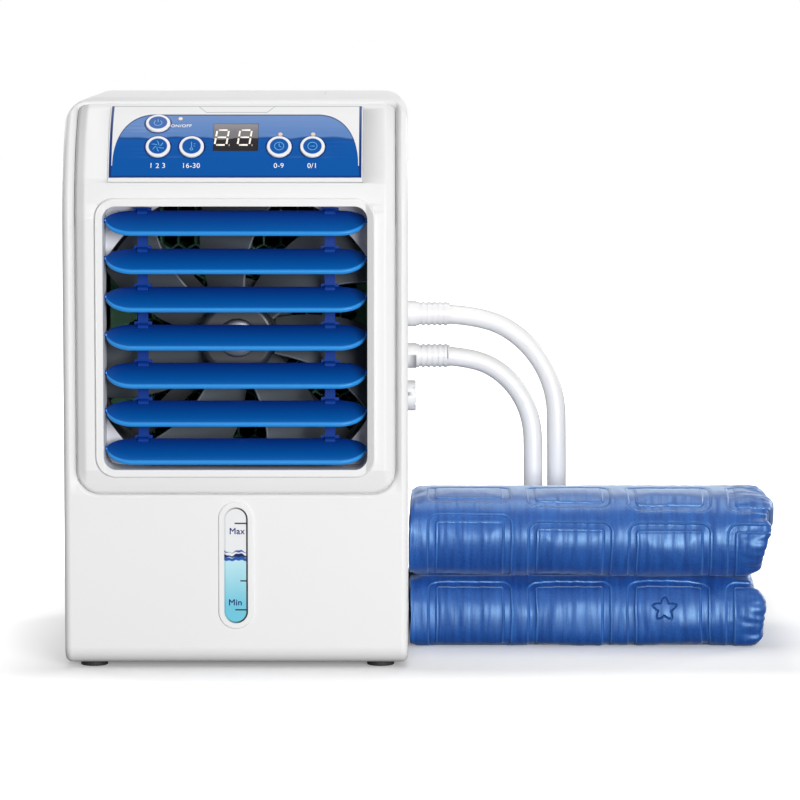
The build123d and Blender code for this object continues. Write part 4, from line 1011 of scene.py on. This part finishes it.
def shell(name, relief=None):
    """The casing's white plastic."""
    return moulded(name, shell_white, 0.45, 0.02, 1400.0, 0.05, relief=relief, Specular_IOR_Level=0.3)


# Relief, as heights in metres

bend_soft = 1.5             # how softly the front panel's slopes end
edge_soft = 0.8


def above_foot(tree, z):
    """0 at the foot of the front panel, 1 a little above it."""
    return clamped(tree, z, 1 / foot_fade, -bezel_low / foot_fade)


def bezel_shoulder(tree):
    """The front panel falls away along its two sides, and a little along its foot."""
    x, _, z = object_place(tree)
    side = minus(tree, bezel_half, away_from(tree, x))
    side = math_node(tree, "SMOOTH_MIN", side, shoulder_width, bend_soft)
    side = times(tree, side, above_foot(tree, z))
    foot = math_node(tree, "SMOOTH_MIN", minus(tree, z, bezel_low), foot_width, bend_soft)
    return times(tree, side, shoulder_slope * MM, times(tree, foot, foot_slope * MM))


def soft_limits(tree, value, low, high):
    """A value kept between two limits, with a soft turn at each."""
    value = math_node(tree, "SMOOTH_MAX", value, low, edge_soft)
    return math_node(tree, "SMOOTH_MIN", value, high, edge_soft)


def housing_rim(tree):
    """The housing's front edge rises from the panel to its own rim."""
    x, y, z = object_place(tree)
    out = minus(tree, away_from(tree, x), bezel_half + rim_width)
    front = clamped(tree, y, -1 / rim_fade, rim_front / rim_fade)
    front = times(tree, front, above_foot(tree, z))
    return times(tree, times(tree, soft_limits(tree, out, -rim_width, 0.0), front), rim_slope * MM)


def louver_lip(tree):
    """The white frame leans in towards the slats at its two sides."""
    x, _, _ = object_place(tree)
    out = minus(tree, away_from(tree, x), slat_half)
    return times(tree, soft_limits(tree, out, 0.0, lip_width), lip_slope * MM)


# Prints, laid over a base colour

def near(tree, value, middle, half, blur):
    """1 where a value lies within half of its middle, with a soft edge."""
    return soft_edge(tree, minus(tree, half, away_from(tree, value, middle)), blur)


def rounded_end(tree, width, half, corner):
    """1 in the middle, falling to 0 at half on a quarter ellipse as long as the corner."""
    share = clamped(tree, width, 1 / corner, 1 - half / corner)
    return math_node(tree, "SQRT", minus(tree, 1.0, times(tree, share, share)))


def waves(tree, x, level, rows):
    """A wavy line across X round a level: each row has a step a millimetre, a start and a height."""
    for step, start, rise in rows:
        level = times(tree, math_node(tree, "SINE", times(tree, x, step, start)), rise, level)
    return level


def brow_place(tree):
    """X in millimetres and the angle up the curved brow in degrees."""
    x, y, z = object_place(tree)
    angle = math_node(tree, "ARCTAN2", minus(tree, z, brow_z), minus(tree, brow_y, y))
    return x, times(tree, angle, 180 / pi)


def panel_tab(tree, width, angle):
    """Above zero where a thin painted shadow line goes: along the outline of the tab, and above the film's
    top.
    """
    above = minus(tree, angle, tab_low)
    side = minus(tree, times(tree, above, tab_lean, tab_half), width)
    outline = away_from(tree, math_node(tree, "MINIMUM", above, side))
    return math_node(tree, "MAXIMUM", minus(tree, shadow_line_width, outline), minus(tree, angle, tab_high))


def paint_panel(tree, base):
    """A blue arch on the white film with a painted reflection, paler above a wavy edge with a navy line, navy
    edges, navy painted shadow round the keys and a thin painted shadow line round the tab.
    """
    x, angle = brow_place(tree)
    width = away_from(tree, x)
    above_reflection_edge = minus(tree, angle, waves(tree, x, reflection_edge_angle, reflection_edge_waves))
    tone = colour_mix(tree, soft_edge(tree, above_reflection_edge, 0.4), film_blue, film_painted_reflection)
    crest = times(tree, near(tree, above_reflection_edge, 0.0, 0.55, 0.5), 0.55)
    tone = colour_mix(tree, crest, tone, film_navy)
    arch = rounded_end(tree, width, arch_half, arch_corner)
    above = minus(tree, times(tree, arch, arch_high - arch_low, arch_low), angle)
    colour = colour_mix(tree, soft_edge(tree, above, 0.4), base, tone)
    colour = colour_mix(tree, near(tree, above, 0.0, 0.45, 0.4), colour, film_navy)
    colour = colour_mix(tree, soft_edge(tree, panel_tab(tree, width, angle), 0.2), colour, film_shadow_line)
    # Navy painted shadow in the gap round each key
    for key_x, key_angle in key_places.values():
        along = times(tree, minus(tree, angle, key_angle), film_face * pi / 180)
        inside = minus(tree, key_shadow_radius, distance(tree, minus(tree, x, key_x), along))
        colour = colour_mix(tree, soft_edge(tree, inside, 0.5), colour, film_navy)
    side = soft_edge(tree, minus(tree, width, navy_half), 0.3)
    foot = soft_edge(tree, minus(tree, navy_foot, angle), 0.4)
    colour = colour_mix(tree, math_node(tree, "MAXIMUM", side, foot), colour, film_navy)
    side = minus(tree, width, white_half)
    foot = minus(tree, white_foot, angle)
    margin = soft_edge(tree, math_node(tree, "MAXIMUM", side, foot), 0.3)
    return colour_mix(tree, margin, colour, base)


def paint_lens(tree, base):
    """The same painted reflection on the smoked lens, paler above the wavy edge."""
    x, angle = brow_place(tree)
    above_reflection_edge = minus(tree, angle, waves(tree, x, reflection_edge_angle, reflection_edge_waves))
    return colour_mix(tree, soft_edge(tree, above_reflection_edge, 0.5), base, lens_painted_reflection)


def paint_duct(tree, base):
    """A dark barrel in a pale square flange."""
    x, y, z = object_place(tree)
    radius = distance(tree, x, minus(tree, z, fan_height))
    outside = soft_edge(tree, minus(tree, radius, duct_radius + 0.1), 0.3)
    ahead = soft_edge(tree, minus(tree, duct_front + flange_thick, y), 0.3)
    return colour_mix(tree, times(tree, outside, ahead), base, flange_white)


def paint_rotor(tree, base):
    """Painted light: the blades are painted paler than the dark hub, though both are one moulding."""
    x, _, z = object_place(tree)
    outside = minus(tree, distance(tree, x, minus(tree, z, fan_height)), hub_radius)
    return colour_mix(tree, soft_edge(tree, outside, 0.5), base, blade_painted_light)


def paint_slat(tree, base):
    """Painted light: deep blue at the rear, clearer blue to the front, and a painted highlight along the
    front edge.
    """
    x, y, z = object_place(tree)
    lean = radians(slat_tilt)
    row = minus(tree, z, slat_heights[-1] - 1.5 * slat_pitch)
    rise = minus(tree, math_node(tree, "MODULO", row, slat_pitch), slat_pitch / 2)
    across = times(tree, minus(tree, y, pivot_y), cos(lean), times(tree, rise, sin(lean)))
    colour = colour_mix(tree, clamped(tree, across, -1 / slat_light_fade, slat_light_start), base, slat_painted_light)
    width = away_from(tree, x)
    end = rounded_end(tree, width, slat_half, slat_end)
    inside = times(tree, end, slat_front, across)
    painted_highlight = soft_edge(tree, minus(tree, slat_highlight_width, inside), 0.8)
    colour = colour_mix(tree, painted_highlight, colour, slat_painted_highlight)
    pivot = minus(tree, width, slat_half + 0.1)
    return colour_mix(tree, soft_edge(tree, pivot, 0.2), colour, base)


def paint_key(place, angle):
    """A painter for one key: a white ring round a blue face."""
    def paint(tree, base):
        """Blue inside the ring, the base colour outside it."""
        centre = brow_point(place, angle, key_face)
        offsets = [minus(tree, socket, value) for socket, value in zip(object_place(tree), centre)]
        inside = minus(tree, key_ring, distance(tree, *offsets))
        return colour_mix(tree, soft_edge(tree, inside, 0.35), base, film_blue)
    return paint


def paint_gauge(tree, base):
    """Water behind a clear window: bright above, a dark wavy surface, pale water, a scale, and a painted
    shadow round the window that is darker to the right.
    """
    x, _, z = object_place(tree)
    depth = minus(tree, waves(tree, x, water_line, water_waves), z)
    deep = soft_edge(tree, minus(tree, depth, deep_from), deep_fade)
    water = colour_mix(tree, deep, water_pale, water_teal)
    colour = colour_mix(tree, soft_edge(tree, depth, 0.5), base, water)
    for place, thick, tone in water_bands:
        band = near(tree, depth, place, waves(tree, x, thick, band_waves), 0.5)
        colour = colour_mix(tree, band, colour, tone)
    # Painted shadow: a dark outline round the window, fading towards the left
    beyond = minus(tree, away_from(tree, z, window_middle), window_straight)
    beyond = math_node(tree, "MAXIMUM", beyond, 0.0)
    rim = soft_edge(tree, minus(tree, distance(tree, x, beyond), scale_line), 0.3)
    dark = clamped(tree, x, 1 / outline_shadow_fade, 0.7)
    colour = colour_mix(tree, times(tree, rim, dark), colour, scale_ink_and_shadow)
    scale = minus(tree, x, scale_line)
    for height, start in scale_ticks:
        tick = minus(tree, tick_half, away_from(tree, z, height))
        tick = math_node(tree, "MINIMUM", tick, minus(tree, x, start))
        scale = math_node(tree, "MAXIMUM", scale, tick)
    return colour_mix(tree, soft_edge(tree, scale, 0.15), colour, scale_ink_and_shadow)


# The pad's cloth and the hoses

ridge_slope = 1.2
ridge_soft = 0.3
streak_rise = 0.45
# strength of the painted highlight along each weld
weld_highlight_strength = 0.5
# painted sheen on the cloth where it is seen edge on
sheen_paint_power = 4.0
sheen_paint_strength = 0.8
# strength of the painted shade on the hoses' edges
edge_shade_strength = 0.7

# Attribute, distance in it, and height of each line on the cloth, in millimetres
cloth_lines = (("weld", 0.0, 0.6), ("weld", weld_width, 0.6), ("star", 0.0, -0.8))


def along_cloth(tree, across, along):
    """Soft noise that is stretched down the cloth, with its steps a millimetre across and along."""
    place = tree.nodes.new("ShaderNodeUVMap")
    place.uv_map = "cloth"
    stretch = tree.nodes.new("ShaderNodeVectorMath")
    stretch.operation = "MULTIPLY"
    stretch.inputs[1].default_value = (uv_unit * across, uv_unit * along, 1)
    streaks = tree.nodes.new("ShaderNodeTexNoise")
    streaks.inputs["Scale"].default_value = 1.0
    streaks.inputs["Detail"].default_value = 3.0
    tree.links.new(place.outputs[0], stretch.inputs[0])
    tree.links.new(stretch.outputs[0], streaks.inputs["Vector"])
    return streaks.outputs["Fac"]


def ridge_by(tree, name, line):
    """1 on a line at this distance in an attribute, falling to 0 within a millimetre of it."""
    depth = tree.nodes.new("ShaderNodeAttribute")
    depth.attribute_name = name
    away = away_from(tree, depth.outputs["Fac"], line)
    return math_node(tree, "SMOOTH_MAX", times(tree, away, -ridge_slope, 1.0), 0.0, ridge_soft)


def cloth_relief(tree):
    """Raised lines on both sides of a weld, the star's groove, and fine streaks down the cloth."""
    height = times(tree, along_cloth(tree, 0.17, 0.02), streak_rise * MM)
    for name, line, rise in cloth_lines:
        height = times(tree, ridge_by(tree, name, line), rise * MM, height)
    return height


def edge_on(tree):
    """0 where the surface faces the view, 1 where it is seen edge on."""
    layer = tree.nodes.new("ShaderNodeLayerWeight")
    layer.inputs["Blend"].default_value = 0.5
    return layer.outputs["Facing"]


def hose_painted_edge_shade(tree, base):
    """Painted shade: a hose, and the cuff on it, is painted greyer where its wall is seen edge on."""
    return colour_mix(tree, times(tree, edge_on(tree), edge_shade_strength), base, edge_shade_grey)


def paint_cloth(tree, base):
    """Paler streaks and specks, pale weld lines that are painted highlights, and a painted sheen where the
    cloth is seen edge on.
    """
    streaks = times(tree, along_cloth(tree, 0.35, 0.03), 2.2, -0.8)
    specks = times(tree, along_cloth(tree, 0.9, 0.7), 2.0, -0.75)
    pale = clamped(tree, streaks, 0.6, times(tree, specks, 0.4))
    cloth = colour_mix(tree, pale, base, cloth_pale)
    for line in (0.0, weld_width):
        weld_highlight = times(tree, ridge_by(tree, "weld", line), weld_highlight_strength)
        cloth = colour_mix(tree, weld_highlight, cloth, weld_painted_highlight)
    painted_sheen = times(tree, math_node(tree, "POWER", edge_on(tree), sheen_paint_power), sheen_paint_strength)
    return colour_mix(tree, painted_sheen, cloth, cloth_painted_sheen)


# Sizes in the prints, in millimetres, and in degrees up the brow

# where the painted reflection on the film and lens ends, in degrees up the brow
reflection_edge_angle = 41.3
arch_half = 71.2
arch_corner = 23.5
arch_low = 26.5
arch_high = 56.2
navy_half = 71.6            # the film is navy beyond this, and below navy_foot
navy_foot = 22.2
white_half = 73.1           # it is white beyond this, and below white_foot
white_foot = 21.3
tab_low = 58.3
tab_high = 63.2
tab_half = 17.8
tab_lean = 0.9
# width of the painted shadow line round the tab, in degrees
shadow_line_width = 0.2
# how far the painted shadow round each key reaches from its middle
key_shadow_radius = 8.1
# waves along the painted reflection's edge
reflection_edge_waves = ((0.16, 0.0, 0.45), (0.33, 1.0, 0.3))
water_waves = ((0.62, 0.4, 0.5), (1.7, 2.0, 0.25))
band_waves = ((0.62, 0.4, 0.3),)
deep_from = 14.0            # depth at which the water is halfway to teal
deep_fade = 30.0
# how fast the painted shadow round the window fades to the left
outline_shadow_fade = 12.0
# The slats' painted light: how fast it fades across the slat, and where it starts
slat_light_fade = 20.0
slat_light_start = 0.4           # how far the slat's painted light has come at its pivot line

# Colours

# painted shade on the hoses' edges
edge_shade_grey = (0.40, 0.40, 0.395)
cloth_pale = (0.022, 0.13, 0.48)
# painted highlight on the weld lines
weld_painted_highlight = (0.07, 0.24, 0.68)
# painted sheen on the cloth
cloth_painted_sheen = (0.42, 0.55, 0.80)
film_blue = (0.0, 0.085, 0.36)
# the film's painted reflection
film_painted_reflection = (0.10, 0.22, 0.50)
# the painted shadow line at the film's top edge
film_shadow_line = (0.25, 0.27, 0.3)
film_navy = (0.004, 0.03, 0.16)
# the lens's painted reflection
lens_painted_reflection = (0.19, 0.18, 0.19)
flange_white = (0.62, 0.63, 0.68)
# painted light on the fan's blades
blade_painted_light = (0.14, 0.16, 0.18)
# Painted light and painted highlight on the slats
slat_painted_light = (0.002, 0.125, 0.47)
slat_painted_highlight = (0.03, 0.30, 0.78)
water_pale = (0.58, 0.86, 0.93)
water_teal = (0.17, 0.60, 0.76)
water_blue = (0.015, 0.10, 0.42)
water_deep = (0.004, 0.012, 0.10)
# the scale's print, also used for the painted shadow round the window
scale_ink_and_shadow = (0.035, 0.03, 0.03)
shell_white = (0.82, 0.82, 0.825)

# Depth, half thickness and colour of each band at the water's surface
water_bands = ((1.7, 1.1, water_blue), (0.0, 0.75, water_deep), (-2.3, 0.35, water_blue))

# Materials

white_shell = shell("white_shell")
housing_white = shell("housing_white", housing_rim)
louver_white = shell("louver_white", louver_lip)
bezel_shell = shell("bezel_shell", bezel_shoulder)
white_trim = moulded("white_trim", (0.86, 0.86, 0.865), 0.35, 0.02, 1400.0, 0.04)
dark_inner = moulded("dark_inner", (0.02, 0.024, 0.032), 0.35)
duct_finish = moulded("duct_finish", (0.03, 0.038, 0.05), 0.35, paint=paint_duct)
rotor_grey = moulded("rotor_grey", (0.028, 0.032, 0.04), 0.35, paint=paint_rotor)
bright_cap = moulded("bright_cap", (0.45, 0.46, 0.48), 0.35, 0.05, 3000.0, 0.05, Metallic=1.0)
steel = moulded("steel", (0.5, 0.5, 0.52), 0.3, 0.08, 4000.0, 0.1, Metallic=1.0)
slat_blue = moulded(
    "slat_blue", (0.002, 0.026, 0.23), 0.24, 0.05, 1200.0, 0.03, paint=paint_slat, Specular_IOR_Level=0.25
)
bar_blue = moulded("bar_blue", (0.002, 0.04, 0.27), 0.35, Specular_IOR_Level=0.12)
board_green = moulded("board_green", (0.02, 0.16, 0.06), 0.4)
black_plastic = moulded("black_plastic", (0.01, 0.01, 0.012), 0.35)
foot_rubber = moulded("foot_rubber", (0.02, 0.02, 0.022), 0.7, 0.1, 1800.0, 0.3)
curtain_green = moulded("curtain_green", (0.16, 0.42, 0.25), 0.6, 0.25, 1500.0, 0.5)
filter_grey = moulded("filter_grey", (0.08, 0.09, 0.1), 0.8, 0.15, 2500.0, 0.8)
tank_blue = moulded("tank_blue", (0.35, 0.5, 0.65), 0.2, 0.03)
lens_black = moulded(
    "lens_black", (0.012, 0.01, 0.012), 0.2, 0.0, 800.0, 0.0, paint=paint_lens, Specular_IOR_Level=0.25
)
light_guide = moulded("light_guide", (0.75, 0.62, 0.5), 0.2, 0.02)
gauge_print = moulded(
    "gauge_print", (0.86, 0.87, 0.88), 0.15, 0.0, 800.0, 0.0, paint=paint_gauge, Coat_Weight=1.0
)
hose_white = moulded(
    "hose_white", (0.88, 0.88, 0.87), 0.35, 0.02, 700.0, 0.05, paint=hose_painted_edge_shade,
    Subsurface_Weight=0.4, Subsurface_Radius=(1, 1, 1), Subsurface_Scale=0.004,
)
cuff_white = moulded("cuff_white", (0.86, 0.86, 0.86), 0.35, 0.02, 1400.0, 0.04, paint=hose_painted_edge_shade)
panel_film = moulded("panel_film", shell_white, 0.35, 0.01, paint=paint_panel, Specular_IOR_Level=0.15)
ink_white = moulded("ink_white", (0.85, 0.85, 0.85), 0.5, 0.02)
ink_navy = moulded("ink_navy", (0.002, 0.01, 0.14), 0.5, 0.02, Specular_IOR_Level=0.2)
icon_blue = moulded("icon_blue", (0.10, 0.40, 0.75), 0.4, 0.02)
digit_glow = moulded(
    "digit_glow", (0.7, 0.66, 0.6), 0.5, 0.02, Emission_Color=(1, 0.95, 0.86, 1), Emission_Strength=0.45
)
pad_cloth = moulded(
    "pad_cloth", (0.007, 0.045, 0.24), 0.4, 0.1, 2600.0, 0.25, paint=paint_cloth, relief=cloth_relief,
    Specular_IOR_Level=1.0, Specular_Tint=(0.45, 0.74, 1, 1),
    Sheen_Weight=0.3, Sheen_Roughness=0.3, Sheen_Tint=(0.6, 0.8, 1, 1),
)
key_finishes = {
    name: moulded(
        f"{name}_face", (0.84, 0.85, 0.88), 0.3, 0.02, paint=paint_key(*place), Specular_IOR_Level=0.2
    )
    for name, place in key_places.items()
}

# The scene

build_studio()
build_floor()
build_hose("hose_supply", supply_route, hose_white)
build_hose("hose_return", return_route, hose_white)

for name, fold in pad_folds.items():
    build_fold(name, fold, pad_cloth)
build_slats(slat_blue)
build_hub_cap(bright_cap)
build_panel_print(ink_white, icon_blue)
build_digits(digit_glow)
build_gauge_words(ink_navy)

node_finishes = {
    "rear_cover": white_shell, "base_pan": white_trim, "rubber_feet": foot_rubber, "housing_screws": steel,
    "display_module": black_plastic, "display_lens": lens_black, "control_board": board_green,
    "tact_switches": black_plastic, "indicator_lights": light_guide, "level_window": gauge_print,
    "motor_bracket": dark_inner, "cooling_curtain": curtain_green, "drip_tray": white_trim,
    "ion_generator": black_plastic, "water_tank": tank_blue, "pump_body": black_plastic,
    "pump_cover": black_plastic, "pump_riser": tank_blue, "drain_port": white_trim,
    "power_inlet": black_plastic, "lid_hinge_pin": steel, "fan_shaft": steel, "filter_door": white_shell,
    "dust_filter": filter_grey, "pump_impeller": black_plastic, "pad_fittings": white_trim,
}
for node, material in node_finishes.items():
    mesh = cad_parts[node].data
    mesh.materials.clear()
    mesh.materials.append(material)

# Node, piece, material, body and slot
smooth_nodes = [
    ("main_housing", "housing_shell", housing_white, "cooler", "white_shell"),
    ("front_bezel", "bezel_panel", bezel_shell, "cooler", "white_shell"),
    ("louver_frame", "louver_rim", louver_white, "cooler", "white_shell"),
    ("control_fascia", "panel_face", panel_film, "cooler", "panel_film"),
    ("fan_duct", "duct_ring", duct_finish, "cooler", "grey_inner"),
    ("fan_motor", "motor_body", black_plastic, "cooler", "motor_can"),
    ("hose_ports", "port_block", cuff_white, "cooler", "white_fitting"),
    ("hose_cuffs", "cuff_sleeves", cuff_white, "cooler", "white_fitting"),
    ("fan_rotor", "rotor_blades", rotor_grey, "fan", "rotor"),
    ("fill_lid", "lid_panel", white_shell, "lid", "white_shell"),
    ("drain_plug", "plug", cuff_white, "plug", "white_fitting"),
    ("link_bar_left", "bar_left", bar_blue, "link_bar_left", "blue_bar"),
    ("link_bar_right", "bar_right", bar_blue, "link_bar_right", "blue_bar"),
]
smooth_nodes += [(name, f"{name}_cap", key_finishes[name], name, "key_cap") for name in key_places]
for node, name, material, body, slot in smooth_nodes:
    finish_piece(smooth_copy(node, name), material, body, slot, node)
